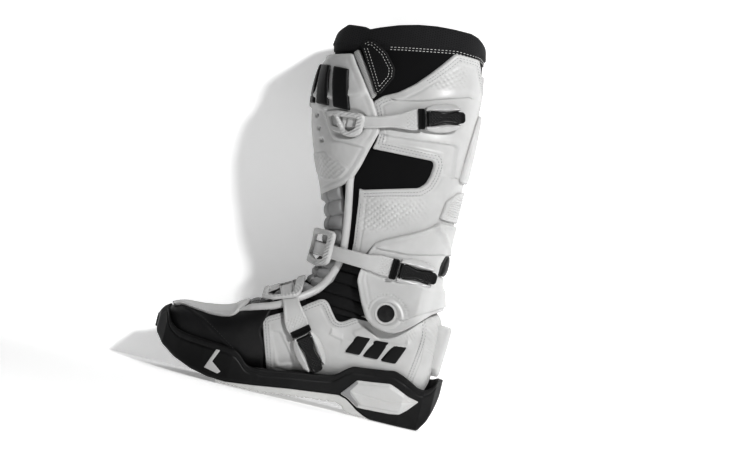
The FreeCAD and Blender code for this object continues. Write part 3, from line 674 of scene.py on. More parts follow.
class Graph:
    """Short hand for placing and joining shader nodes."""

    def __init__(self, tree: bpy.types.NodeTree) -> None:
        """Keeps the tree that the nodes go into."""
        self.tree = tree

    def node(self, kind: str, inputs: Optional[dict] = None, **settings: object) -> bpy.types.Node:
        """Adds a node; inputs are values or sockets by name or number, settings are its own properties."""
        made = self.tree.nodes.new(kind)
        for key, value in settings.items():
            setattr(made, key, value)
        for key, value in (inputs or {}).items():
            if isinstance(value, bpy.types.NodeSocket):
                self.tree.links.new(value, made.inputs[key])
            else:
                made.inputs[key].default_value = value
        return made

    def math(self, operation: str, a: object, b: object = 0.0, clamp: bool = False) -> bpy.types.NodeSocket:
        """One arithmetic step."""
        return self.node("ShaderNodeMath", {0: a, 1: b}, operation=operation, use_clamp=clamp).outputs[0]

    def band(self, value: object, low: float, high: float) -> bpy.types.NodeSocket:
        """Smooth step from 0 at low to 1 at high."""
        made = self.node("ShaderNodeMapRange", {"Value": value, "From Min": low, "From Max": high},
                         interpolation_type="SMOOTHSTEP")
        return made.outputs["Result"]

    def mix(self, share: object, a: object, b: object) -> bpy.types.NodeSocket:
        """Blend of two colours."""
        made = self.node("ShaderNodeMix", {"Factor": share}, data_type="RGBA")
        for socket, value in ((made.inputs[6], a), (made.inputs[7], b)):
            if isinstance(value, bpy.types.NodeSocket):
                self.tree.links.new(value, socket)
            else:
                socket.default_value = value
        return made.outputs[2]

    def noise(self, vector: object, scale: float, detail: float = 3.0,
              rough: float = 0.55) -> bpy.types.NodeSocket:
        """Fractal noise between 0 and 1."""
        return self.node("ShaderNodeTexNoise", {"Vector": vector, "Scale": scale, "Detail": detail,
                                                "Roughness": rough}).outputs["Fac"]


GroupParts = tuple[bpy.types.NodeTree, Graph, dict, dict]


def new_group(name: str, inputs: dict[str, float], outputs: Sequence[str]) -> GroupParts:
    """Opens a shader node group with float sockets, and a vector socket called Vector first.

    Args:
        name: name of the group.
        inputs: float inputs and their usual values.
        outputs: float outputs.
    Returns:
        The tree, its graph, the input sockets and a dict to fill with the output values.
    """
    tree = bpy.data.node_groups.new(name, "ShaderNodeTree")
    tree.interface.new_socket(name="Vector", in_out="INPUT", socket_type="NodeSocketVector")
    for key, value in inputs.items():
        tree.interface.new_socket(name=key, in_out="INPUT",
                                  socket_type="NodeSocketFloat").default_value = value
    for key in outputs:
        tree.interface.new_socket(name=key, in_out="OUTPUT", socket_type="NodeSocketFloat")
    graph = Graph(tree)
    source = graph.node("NodeGroupInput").outputs
    return tree, graph, {socket.name: socket for socket in source if socket.name}, {}


def close_group(tree: bpy.types.NodeTree, graph: Graph, results: dict) -> bpy.types.NodeTree:
    """Joins the results to the group's outputs and hands the group back."""
    graph.node("NodeGroupOutput", results)
    return tree


def wave_pair(graph: Graph, vector: object, pitch_u: float, pitch_v: float) -> tuple:
    """Cosines of the two surface parameters, one period per pitch in millimetres."""
    parts = graph.node("ShaderNodeSeparateXYZ", {0: vector}).outputs
    return tuple(graph.math("COSINE", graph.math("MULTIPLY", parts[k], 2 * math.pi / (pitch * MM)))
                 for k, pitch in ((0, pitch_u), (1, pitch_v)))


class Effects:
    """Node groups shared by the finishes."""

    def __init__(self) -> None:
        """Builds each group once."""
        self.wear = self.build_wear()
        self.scuff = self.build_scuff()
        self.grains = {Grain.SATIN: self.build_noise("satin_grain", 900.0, 260.0),
                       Grain.LEATHER: self.build_leather(), Grain.WEAVE: self.build_weave("weave", 1.1, 1.1),
                       Grain.MESH: self.build_mesh(), Grain.RIBS: self.build_weave("ribbed_weave", 0.9, 2.4),
                       Grain.QUILT: self.build_weave("fine_weave", 0.8, 0.8),
                       Grain.RUBBER: self.build_noise("rubber_grain", 1400.0, 420.0),
                       Grain.BRUSHED: self.build_brushed()}

    def build_wear(self) -> bpy.types.NodeTree:
        """Edge wear: 1 at a panel's rim, gone after about 2 mm, broken up by noise."""
        tree, graph, given, out = new_group("edge_wear", {"Rim": 9.0, "Width": 1.6}, ["Mask"])
        near = graph.math("SUBTRACT", 1.0, graph.math("DIVIDE", given["Rim"], given["Width"]), clamp=True)
        patchy = graph.band(graph.noise(given["Vector"], 70.0, 5.0, 0.7), 0.42, 0.68)
        out["Mask"] = graph.math("MULTIPLY", near, patchy)
        return close_group(tree, graph, out)

    def build_scuff(self) -> bpy.types.NodeTree:
        """Soft blotches, fine specks and a dustiness that grows towards the floor."""
        tree, graph, given, out = new_group("handling_marks", {}, ["Blotch", "Specks", "Dust"])
        out["Blotch"] = graph.noise(given["Vector"], 14.0, 4.0, 0.6)
        out["Specks"] = graph.band(graph.noise(given["Vector"], 420.0, 2.0, 0.5), 0.66, 0.78)
        height = graph.node("ShaderNodeSeparateXYZ", {0: given["Vector"]}).outputs[2]
        low = graph.math("SUBTRACT", 1.0, graph.band(height, 0.0, 0.16))
        out["Dust"] = graph.math("MULTIPLY", low,
                                 graph.band(graph.noise(given["Vector"], 32.0, 6.0, 0.65), 0.45, 0.75))
        return close_group(tree, graph, out)

    def build_noise(self, name: str, fine: float, coarse: float) -> bpy.types.NodeTree:
        """Moulded skin: fine noise on coarse noise."""
        tree, graph, given, out = new_group(name, {}, ["Height"])
        small, large = graph.noise(given["Vector"], fine, 2.0), graph.noise(given["Vector"], coarse, 2.0)
        out["Height"] = graph.math("ADD", graph.math("MULTIPLY", small, 0.6),
                                   graph.math("MULTIPLY", large, 0.4))
        return close_group(tree, graph, out)

    def build_leather(self) -> bpy.types.NodeTree:
        """Leather grain: rounded cells about 1.2 mm across, pulled about by noise."""
        tree, graph, given, out = new_group("leather_grain", {}, ["Height"])
        cells = graph.node("ShaderNodeTexVoronoi", {"Vector": given["Vector"], "Scale": 820.0},
                           feature="SMOOTH_F1")
        cells.inputs["Smoothness"].default_value = 0.6
        pores = graph.noise(given["Vector"], 1500.0, 2.0)
        out["Height"] = graph.math("ADD", graph.math("MULTIPLY", cells.outputs["Distance"], -0.7),
                                   graph.math("MULTIPLY", pores, 0.3))
        return close_group(tree, graph, out)

    def build_weave(self, name: str, pitch_u: float, pitch_v: float) -> bpy.types.NodeTree:
        """Plain weave: the product of two cosines, so that warp and weft stand up in turn."""
        tree, graph, given, out = new_group(name, {}, ["Height"])
        a, b = wave_pair(graph, given["Vector"], pitch_u * 2, pitch_v * 2)
        fuzz = graph.noise(given["Vector"], 3000.0, 1.0)
        out["Height"] = graph.math("ADD", graph.math("MULTIPLY", graph.math("MULTIPLY", a, b), 0.42),
                                   graph.math("MULTIPLY", fuzz, 0.35))
        return close_group(tree, graph, out)

    def build_mesh(self) -> bpy.types.NodeTree:
        """Spacer mesh: three cosines at 60 degrees leave a lattice of small round holes."""
        tree, graph, given, out = new_group("spacer_mesh", {}, ["Height"])
        parts = graph.node("ShaderNodeSeparateXYZ", {0: given["Vector"]}).outputs
        total = None
        for angle in (0.0, 60.0, 120.0):
            c, s = math.cos(math.radians(angle)), math.sin(math.radians(angle))
            k = 2 * math.pi / (2.1 * MM)
            along = graph.math("ADD", graph.math("MULTIPLY", parts[0], c * k),
                               graph.math("MULTIPLY", parts[1], s * k))
            wave = graph.math("COSINE", along)
            total = wave if total is None else graph.math("ADD", total, wave)
        out["Height"] = graph.math("SUBTRACT", 1.0, graph.band(total, 0.0, 2.2))
        return close_group(tree, graph, out)

    def build_brushed(self) -> bpy.types.NodeTree:
        """Turned metal: noise drawn out along one direction."""
        tree, graph, given, out = new_group("brushed_metal", {}, ["Height"])
        drawn = graph.node("ShaderNodeMapping",
                           {"Vector": given["Vector"], "Scale": (90.0, 90.0, 2600.0)}).outputs[0]
        out["Height"] = graph.noise(drawn, 1.0, 3.0, 0.6)
        return close_group(tree, graph, out)


@dataclass(frozen=True)
class Finish:
    """One finish: its colour, gloss and grain, and how it ages."""
    name: str
    slot: str
    colour: tuple[float, float, float]
    roughness: float
    grain: Grain = Grain.SATIN
    relief: float = 0.03
    worn: tuple[float, float, float] = (0.55, 0.54, 0.52)
    wear: float = 0.25
    dust: float = 0.1
    variety: float = 0.08
    on_uv: bool = False
    metallic: float = 0.0
    sheen: float = 0.0
    coat: float = 0.0
    specular: float = 0.5

    def build(self, effects: Effects) -> bpy.types.Material:
        """Makes the material: base colour, marks, worn edges and grain feed one Principled shader.

        Args:
            effects: shared node groups.
        Returns:
            The material.
        """
        material = bpy.data.materials.new(self.name)
        material.use_nodes = True
        material.node_tree.nodes.clear()
        graph = Graph(material.node_tree)
        place = graph.node("ShaderNodeTexCoord").outputs
        body, woven = place["Object"], place["UV"] if self.on_uv else place["Object"]
        rim = graph.node("ShaderNodeAttribute", attribute_name="rim").outputs["Fac"]
        marks = graph.node("ShaderNodeGroup", node_tree=effects.scuff)
        graph.tree.links.new(body, marks.inputs["Vector"])
        wear = graph.node("ShaderNodeGroup", node_tree=effects.wear)
        graph.tree.links.new(body, wear.inputs["Vector"])
        graph.tree.links.new(rim, wear.inputs["Rim"])
        grain = graph.node("ShaderNodeGroup", node_tree=effects.grains[self.grain])
        graph.tree.links.new(woven, grain.inputs["Vector"])
        darker = (*(c * (1 - self.variety) for c in self.colour), 1.0)
        lighter = (*(min(1.0, c * (1 + self.variety * 0.6) + self.variety * 0.03) for c in self.colour), 1.0)
        colour = graph.mix(graph.band(marks.outputs["Blotch"], 0.35, 0.65), darker, lighter)
        colour = graph.mix(graph.math("MULTIPLY", marks.outputs["Specks"], 0.3), colour, darker)
        if self.grain in (Grain.WEAVE, Grain.MESH, Grain.RIBS, Grain.QUILT):
            deep = (*(c * 0.55 for c in self.colour), 1.0)
            colour = graph.mix(graph.math("MULTIPLY", grain.outputs["Height"], 0.8, clamp=True), deep, colour)
        colour = graph.mix(graph.math("MULTIPLY", marks.outputs["Dust"], self.dust), colour,
                           (0.42, 0.37, 0.31, 1.0))
        colour = graph.mix(graph.math("MULTIPLY", wear.outputs["Mask"], self.wear), colour, (*self.worn, 1.0))
        rough = graph.math("ADD", self.roughness - 0.05,
                           graph.math("MULTIPLY", marks.outputs["Blotch"], 0.12))
        rough = graph.math("ADD", rough, graph.math("MULTIPLY", wear.outputs["Mask"], 0.15), clamp=True)
        bump = graph.node("ShaderNodeBump", {"Height": grain.outputs["Height"], "Strength": 0.6,
                                             "Distance": self.relief * MM}).outputs[0]
        shader = graph.node("ShaderNodeBsdfPrincipled", {
            "Base Color": colour, "Roughness": rough, "Normal": bump, "Metallic": self.metallic,
            "Specular IOR Level": self.specular, "Sheen Weight": self.sheen, "Coat Weight": self.coat,
            "Coat Roughness": 0.22})
        graph.node("ShaderNodeOutputMaterial", {"Surface": shader.outputs[0]})
        material.diffuse_color = (*self.colour, 1.0)
        return material


WHITE_SHELL = Finish("satin_white_shell", "white_shell", (0.57, 0.57, 0.567), 0.42, coat=0.05)
WHITE_SHIN = Finish("white_shin_plate", "white_shin", (0.58, 0.58, 0.577), 0.42, coat=0.05)
WHITE_LEATHER = Finish("white_coated_leather", "white_leather", (0.56, 0.56, 0.557), 0.42, Grain.LEATHER,
                       0.05)
WHITE_RAIL = Finish("white_soft_rail", "white_rail", (0.6, 0.6, 0.597), 0.4)
WHITE_RUBBER = Finish("white_tread_rubber", "white_rubber", (0.58, 0.58, 0.57), 0.6, Grain.RUBBER, 0.06,
                      dust=0.05)
HEEL_WHITE = Finish("white_heel_plate", "heel_plate", (0.57, 0.57, 0.567), 0.36)
# Grey copy of the heel plate's white: painted shade for the plate's lower facet.
HEEL_PAINTED_SHADE = Finish("heel_facet_painted_shade", "heel_plate", (0.30, 0.30, 0.305), 0.42)
BUCKLE_WHITE = Finish("white_buckle_plastic", "buckle", (0.58, 0.58, 0.577), 0.3, coat=0.2)
STRAP_WHITE = Finish("white_strap_plastic", "strap", (0.57, 0.57, 0.567), 0.36)
CLIP_WHITE = Finish("white_clip_plastic", "clip", (0.58, 0.58, 0.577), 0.3, coat=0.2)
QUILT_WHITE = Finish("white_quilted_fabric", "tongue_fabric", (0.56, 0.56, 0.563), 0.72, Grain.QUILT, 0.12,
                     on_uv=True, sheen=0.25, wear=0.1)
STRIP_WHITE = Finish("white_woven_strip", "closure_strip", (0.6, 0.6, 0.595), 0.66, Grain.WEAVE, 0.14,
                     on_uv=True)
BLACK_LEATHER = Finish("black_grained_leather", "black_leather", (0.011, 0.011, 0.012), 0.5, Grain.LEATHER,
                       0.09,
                       worn=(0.08, 0.078, 0.075), dust=0.02, variety=0.2, specular=0.4)
BLACK_RUBBER = Finish("black_sole_rubber", "black_rubber", (0.009, 0.009, 0.0095), 0.46, Grain.RUBBER, 0.06,
                      worn=(0.03, 0.03, 0.03), dust=0.0, variety=0.2, specular=0.3)
BLACK_FABRIC = Finish("black_liner_fabric", "black_fabric", (0.012, 0.012, 0.013), 0.85, Grain.WEAVE, 0.12,
                      worn=(0.1, 0.1, 0.1), on_uv=True, sheen=0.04, dust=0.02, variety=0.2, specular=0.2)
COLLAR_MESH = Finish("black_spacer_mesh", "collar_fabric", (0.02, 0.02, 0.0215), 0.8, Grain.MESH, 0.3,
                     worn=(0.1, 0.1, 0.1), on_uv=True, sheen=0.06, dust=0.01, variety=0.2, specular=0.25)
GAITER_BLACK = Finish("black_gaiter_fabric", "black_fabric", (0.012, 0.012, 0.013), 0.7, Grain.RIBS, 0.16,
                      worn=(0.1, 0.1, 0.1), on_uv=True, sheen=0.03, dust=0.02, variety=0.2, specular=0.35)
CLOSURE_BLACK = Finish("black_hook_tab", "closure", (0.014, 0.014, 0.015), 0.75, Grain.RIBS, 0.3,
                       worn=(0.1, 0.1, 0.1), on_uv=True, sheen=0.05, dust=0.01, variety=0.25, specular=0.25)
FOAM_BLACK = Finish("insole_fabric", "footbed_foam", (0.06, 0.06, 0.065), 0.85, Grain.WEAVE, 0.15, on_uv=True)
BADGE_BLACK = Finish("black_badge_plastic", "badge", (0.01, 0.01, 0.0105), 0.4, worn=(0.05, 0.05, 0.05),
                     dust=0.01, specular=0.3)
TRIM_BLACK = Finish("black_trim_rubber", "black_trim", (0.011, 0.011, 0.0115), 0.5, Grain.RUBBER, 0.06,
                    worn=(0.08, 0.08, 0.08), dust=0.02, specular=0.35)
LEVER_BLACK = Finish("black_lever_plastic", "lever", (0.012, 0.012, 0.0125), 0.42, worn=(0.08, 0.08, 0.08),
                     dust=0.01, specular=0.3)
STEEL = Finish("brushed_steel", "steel", (0.52, 0.52, 0.53), 0.3, Grain.BRUSHED, 0.02, worn=(0.7, 0.7, 0.7),
               metallic=1.0, dust=0.1)
BOLT_BLACK = Finish("black_bolt_cap", "bolt", (0.01, 0.01, 0.0105), 0.34, Grain.BRUSHED, 0.03,
                    worn=(0.1, 0.1, 0.1),
                    dust=0.01, specular=0.35)
THREAD_WHITE = Finish("pale_thread", "white_leather", (0.62, 0.62, 0.61), 0.7, Grain.RUBBER, 0.05, wear=0.0)
THREAD_GREY = Finish("grey_thread", "white_shell", (0.33, 0.33, 0.34), 0.7, Grain.RUBBER, 0.05, wear=0.0)
THREAD_BLACK = Finish("black_thread", "black_leather", (0.05, 0.05, 0.052), 0.7, Grain.RUBBER, 0.05, wear=0.0)


class Workshop:
    """Dresses finished pieces, puts them on their bodies and reports them."""

    def __init__(self) -> None:
        """Starts with the shared effects and no materials."""
        self.effects = Effects()
        self.materials: dict[str, bpy.types.Material] = {}

    def material(self, finish: Finish) -> bpy.types.Material:
        """The finish's material, built the first time it is asked for."""
        if finish.name not in self.materials:
            self.materials[finish.name] = finish.build(self.effects)
        return self.materials[finish.name]

    def fit(self, piece: bpy.types.Object, finish: Finish, body: str, *stands_for: str,
            slot: str = "") -> bpy.types.Object:
        """Dresses a piece and puts it on a body.

        Args:
            piece: the object.
            finish: its finish.
            body: body that it rides on; when empty, the piece is put on no body.
            *stands_for: CAD nodes that it takes the place of.
            slot: material slot, when it is not the finish's own; not used.
        Returns:
            The same object.
        """
        piece.data.materials.clear()
        piece.data.materials.append(self.material(finish))
        if body:
            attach(piece, body)
        if stands_for:
            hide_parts(*stands_for)
        LOG.info("%s: %d points, %s", piece.name, len(piece.data.vertices), finish.name)
        return piece

    def dress_node(self, node: str, finish: Finish) -> None:
        """Gives a CAD node that stays its material."""
        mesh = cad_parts[node].data
        mesh.materials.clear()
        mesh.materials.append(self.material(finish))


# ------------------------------------------------------------------ sole
SOLE_PLAN = np.array([
    (-152.2, -4, 9), (-151.5, 1, 14), (-149, 14, 26), (-140, 28, 40), (-122, 41, 50), (-95, 51, 55),
    (-65, 56.5, 54), (-35, 56, 50), (0, 51, 46), (40, 45.5, 43), (80, 43.5, 43.5), (115, 42.5, 42.5),
    (135, 35, 35), (146, 24, 24), (151, 11, 11), (151.8, 3, 3)], float)
SOLE_UNDER = np.array([
    (-152.5, 46), (-149, 35), (-140, 24.5), (-125, 15), (-105, 7.5), (-85, 3.5), (-66, 3.2), (-40, 6.2),
    (0, 11.7), (50, 17.2), (57, 15.6), (63, 12), (71, 6.5), (80, 2.2), (87, 0), (137, 0), (144, 10),
    (149, 24), (152, 40)], float)
SOLE_TOP_OUTER = np.array([
    (-152.5, 52), (-150, 57), (-146, 63), (-142, 65.5), (-140, 57), (-136, 49.5), (-128, 43.5), (-115, 40.8),
    (-95, 39.7), (-70, 38.5), (-62, 36.8), (-56, 32), (-50, 25.8), (-44, 24), (-29, 24.5), (0, 29.3),
    (20, 32), (38, 34.8), (44, 38), (52, 45.5), (58, 49.3), (70, 50.5), (90, 53), (101, 54.8), (110, 52),
    (121, 46.8), (127, 43.2), (133, 42.3), (138, 43.8), (143, 48), (147, 56), (152, 56)], float)
SOLE_TOP_INNER = np.array([
    (-152.5, 52), (-150, 57), (-146, 63), (-142, 65.5), (-140, 57), (-136, 48), (-125, 39.5), (-90, 36),
    (-60, 33), (-22, 34), (-10, 45), (-3, 50), (36, 57.5), (44, 57), (86, 46), (97, 46), (118, 50), (142, 53),
    (147, 56), (152, 56)], float)


def sole_half(x: Array, side: float) -> Array:
    """Half width of the sole at x on one side, a smooth curve through the plan's stations."""
    return np.interp(x, SOLE_PLAN[:, 0], SOLE_PLAN[:, 1 if side < 0 else 2])


@dataclass(frozen=True)
class SoleWallSurface(Carrier):
    """Outer or inner side wall of the sole: u is the length, v the height."""
    side: int = -1
    turn: int = 1

    def point(self, u: Array, v: Array, off: Array) -> Array:
        """Plan's half width plus off, on the chosen side."""
        x = u + 0 * v
        y = self.side * (sole_half(x, self.side) + off)
        return np.stack([x, y, v + 0 * u], axis=1)


def loft(name: str, rings: Array, uv: Optional[Array] = None, sharp: float = 50.0) -> bpy.types.Object:
    """Closed body through rings of points of shape (stations, points, 3), with flat fans at both ends.

    Args:
        name: name of the piece.
        rings: rings, each running the same way round.
        uv: parameters of each point.
        sharp: crease angle.
    Returns:
        The object.
    """
    n, m = rings.shape[:2]
    a, b = np.meshgrid(np.arange(n - 1), np.arange(m), indexing="ij")
    b2 = (b + 1) % m
    quads = np.stack([a * m + b, a * m + b2, (a + 1) * m + b2, (a + 1) * m + b], axis=-1).reshape(-1, 4)
    caps = rings[[0, -1]].mean(axis=1)
    points = np.concatenate([rings.reshape(-1, 3), caps])
    k = np.arange(m)
    first = np.stack([(k + 1) % m, k, np.full(m, n * m)], axis=1)
    last = np.stack([k, (k + 1) % m, np.full(m, n * m)], axis=1)
    last[:, :2] += (n - 1) * m
    last[:, 2] = n * m + 1
    volume = np.einsum("ij,ij->i", points[quads[:, 0]],
                       np.cross(points[quads[:, 1]], points[quads[:, 2]])).sum()
    volume += np.einsum("ij,ij->i", points[quads[:, 0]],
                        np.cross(points[quads[:, 2]], points[quads[:, 3]])).sum()
    if volume < 0:
        quads, first, last = quads[:, ::-1], first[:, ::-1], last[:, ::-1]
    flat = None if uv is None else np.concatenate([uv.reshape(-1, 2), np.zeros((2, 2))])
    return make_mesh(name, points, [quads, first, last], flat, np.full(len(points), FAR_FROM_RIM), sharp)


def bar_ring(y0: Array, y1: Array, z0: Array, z1: Array, radius: float,
             count: tuple[int, int]) -> tuple[Array, Array]:
    """Unit ring of a rounded bar: parameters across (0..1) and up (0..1), as a rounded rectangle.

    Args:
        y0, y1, z0, z1: sides at each station.
        radius: corner radius.
        count: points along the flat and along the upright sides.
    Returns:
        y and z of shape (stations, points).
    """
    across, up = np.linspace(0, 1, count[0]), np.linspace(0, 1, count[1])
    s = np.concatenate([across, np.ones(count[1]), across[::-1], np.zeros(count[1])])
    t = np.concatenate([np.zeros(count[0]), up, np.ones(count[0]), up[::-1]])
    y = y0[:, None] + (y1 - y0)[:, None] * s
    z = z0[:, None] + (z1 - z0)[:, None] * t
    r = np.minimum(radius, np.minimum(y1 - y0, z1 - z0) * 0.45)[:, None]
    dy, dz = np.minimum(y - y0[:, None], y1[:, None] - y), np.minimum(z - z0[:, None], z1[:, None] - z)
    cut_y = r - np.sqrt(np.maximum(r * r - np.maximum(r - dz, 0) ** 2, 0))
    cut_z = r - np.sqrt(np.maximum(r * r - np.maximum(r - dy, 0) ** 2, 0))
    y = y + np.where(s < 0.5, 1, -1) * cut_y * (dy < r)
    z = z + np.where(t < 0.5, 1, -1) * cut_z * (dz < r) * (dy >= 1e-6)
    return y, z


@dataclass
class Sole:
    """Cupped rubber sole, its white tread, the plates set into it and the steel toe guard."""
    stations: int = 340
    wall_rows: int = 46
    low_round: float = 3.0
    top_round: float = 1.8

    def build(self, shop: Workshop) -> None:
        """Makes every piece of the sole."""
        self.cup(shop)
        self.tread(shop)
        self.plates(shop)
        shop.dress_node("toe_guard", BLACK_RUBBER)
        shop.dress_node("shank", STEEL)

    def cup(self, shop: Workshop) -> None:
        """Body of the sole: bottom with tread bars, walls with a rolled top edge and a line below it."""
        t = np.linspace(0, 1, self.stations)
        x = -152.2 + 304.0 * (0.5 - 0.5 * np.cos(np.pi * (0.12 + 0.76 * t)) - 0.5 + 0.5
                              * math.cos(0.12 * np.pi)) \
            / math.cos(0.12 * np.pi)
        low = np.interp(x, SOLE_UNDER[:, 0], SOLE_UNDER[:, 1])
        tops = [soften(np.interp(x, k[:, 0], k[:, 1])[:, None], 2, closed=False)[:, 0]
                for k in (SOLE_TOP_OUTER, SOLE_TOP_INNER)]
        low = soften(low[:, None], 2, closed=False)[:, 0]
        halves = [sole_half(x, -1), sole_half(x, 1)]
        up = np.linspace(0, 1, self.wall_rows)
        floor = 30
        rings = []
        for side, top, half in ((-1, tops[0], halves[0]), (1, tops[1], halves[1])):
            height = (top - low)[:, None]
            z = low[:, None] + height * up
            d_low, d_top = z - low[:, None], top[:, None] - z
            tuck, roll = (k - np.sqrt(np.maximum(k * k - np.maximum(k - d, 0) ** 2, 0))
                          for k, d in ((self.low_round, d_low), (self.top_round, d_top)))
            line = 0.9 * np.exp(-((d_top - 6.5) / 1.0) ** 2) * ease((height - 14) / 8)
            waist = 1.5 * np.sin(np.pi * np.clip(up, 0, 1)) * ease((height - 20) / 15)
            toe = ease((x[:, None] + 152) / 10)
            y = half[:, None] - 0.6 - (tuck + roll + line + waist * 0.4) * toe
            rings.append((side, y, z))
        across = np.linspace(0, 1, floor)
        (_, y_out, z_out), (_, y_in, z_in) = rings
        ybot = -y_out[:, :1] + (y_in[:, :1] + y_out[:, :1]) * across
        bars = 1.1 * (np.cos(2 * np.pi * x / 11.0)[:,
                None] > 0.1) * ease((np.minimum(across, 1 - across) - 0.06) / 0.04)
        ball = ((x < -72) & (x > -146)) | ((x > 88) & (x < 136))
        zbot = z_out[:, :1] + (z_in[:, :1] - z_out[:, :1]) * across + bars * ball[:, None]
        ytop = -y_out[:, -1:] + (y_in[:, -1:] + y_out[:, -1:]) * across
        edge = np.minimum(across, 1 - across)
        drop = ease((x + 146) / 6)[:, None] * ease((148 - x) / 4)[:, None] * ease((edge - 0.03) / 0.05)
        ztop_line = z_out[:, -1:] + (z_in[:, -1:] - z_out[:, -1:]) * across
        hollow = np.interp(x, [-146, -130, -100, -40, 60, 140], [44, 30, 22, 18, 22, 24])[:, None]
        ztop = ztop_line + (np.minimum(hollow, ztop_line - 2) - ztop_line) * drop
        y = np.concatenate([ybot, y_in, ytop[:, ::-1], -y_out[:, ::-1]], axis=1)
        z = np.concatenate([zbot, z_in, ztop[:, ::-1], z_out[:, ::-1]], axis=1)
        points = np.stack([np.broadcast_to(x[:, None], y.shape), y, z], axis=2)
        piece = loft("sole_body", points)
        shop.fit(piece, BLACK_RUBBER, "foot", "sole_cup")

    def tread(self, shop: Workshop) -> None:
        """White tread under the waist and heel breast: a bar with cross grooves that follows the sole."""
        x = np.linspace(-76, 85.5, 220)
        top = np.interp(x, SOLE_UNDER[:, 0], SOLE_UNDER[:, 1]) - 0.1
        bottom = np.interp(x, [-76, -66, -30, -10, 20, 50, 54, 58, 62, 86],
                           [0.3, 0.4, 0.5, 3, 6.3, 8.6, 7.2, 3.4, 0.3, 0])
        bottom = np.minimum(bottom, top - 0.6)
        grooves = 0.9 * (np.cos(2 * np.pi * x / 8.0) > 0.72) * (top - bottom > 2.5)
        y0, y1 = -sole_half(x, -1) + 1.0, sole_half(x, 1) - 1.0
        y, z = bar_ring(y0, y1, bottom + grooves, top, 1.0, (26, 9))
        piece = loft("tread_insert", np.stack([np.broadcast_to(x[:, None], y.shape), y, z], axis=2))
        shop.fit(piece, WHITE_RUBBER, "foot", "sole_insert")

    def plates(self, shop: Workshop) -> None:
        """Faceted plate at the heel with painted shade on its lower facet, plain chevron at the toe, and
        recessed window of the inner side.
        """
        outer, inner = SoleWallSurface(side=-1), SoleWallSurface(side=1, turn=-1)
        rim = np.array([(51, 19), (58.5, 28), (65, 36.5), (80, 38.2), (99, 41), (107, 38), (120, 32.2),
                        (132, 29.5), (122, 18), (115, 12), (105, 10.3), (84, 9.2), (71, 8.7),
                        (60, 15.8)], float)
        ring = soften(resample(rim, 0.7), 2)
        face = np.array([(60, 24), (66, 32.5), (99, 37.6), (126, 27.3), (113, 14.4), (74, 12.3)], float)
        split = np.array([(60, 24), (80, 22.5), (100, 22), (126, 27)], float)
        relief = add_up(plateau(resample(face, 0.7), 1.1, 1.6),
                        line_bump(resample(split, 0.7, False), -0.6, 0.7),
                        lambda u, v, d: -0.05 * np.abs(v - 23.5))
        shop.fit(panel("heel_plate_outer", outer, ring, -1.6, 2.2, 0.75, 0.9, relief), HEEL_WHITE, "foot",
                 "heel_side_plate")
        # Lower facet of the heel plate: a thin grey panel, painted shade where the plate turns down.
        facet = np.array([(51.4, 19.2), (65.2, 35.9), (67, 33.6), (60.6, 24.4), (61.5, 21), (72, 12.6),
                          (72, 9.6), (60.4, 16.5)], float)
        shop.fit(panel("heel_plate_painted_shade_facet", outer, soften(resample(facet, 0.7), 1), 0.35, 0.7, 0.7, 0.3),
                 HEEL_PAINTED_SHADE, "foot")
        window = np.array([(72, 17), (82, 26), (115, 37), (118, 26), (105, 17), (88, 12)], float)
        shop.fit(panel("heel_plate_inner", inner, soften(resample(window, 0.7), 3), -1.4, 1.6, 0.9, 0.8,
                       plateau(resample((window - window.mean(axis=0)) * 0.8 + window.mean(axis=0), 0.7),
                               -0.9, 1.4)),
                 BLACK_RUBBER, "foot")
        chevron = np.array([(-91, 12), (-83, 33), (-78.5, 33), (-84, 20), (-73, 12), (-76, 9)], float)
        shop.fit(panel("toe_chevron", outer, soften(resample(chevron, 0.6), 1), -1.9, 1.8, 0.6, 0.4),
                 HEEL_WHITE, "foot")


# ------------------------------------------------------------------ foot
def foot_v(x: float) -> float:
    """Foot surface parameter of a place along the foot."""
    v = np.linspace(0, FOOT.along[-1], 1500)
    return float(np.interp(x, FOOT.station(v)[0], v))


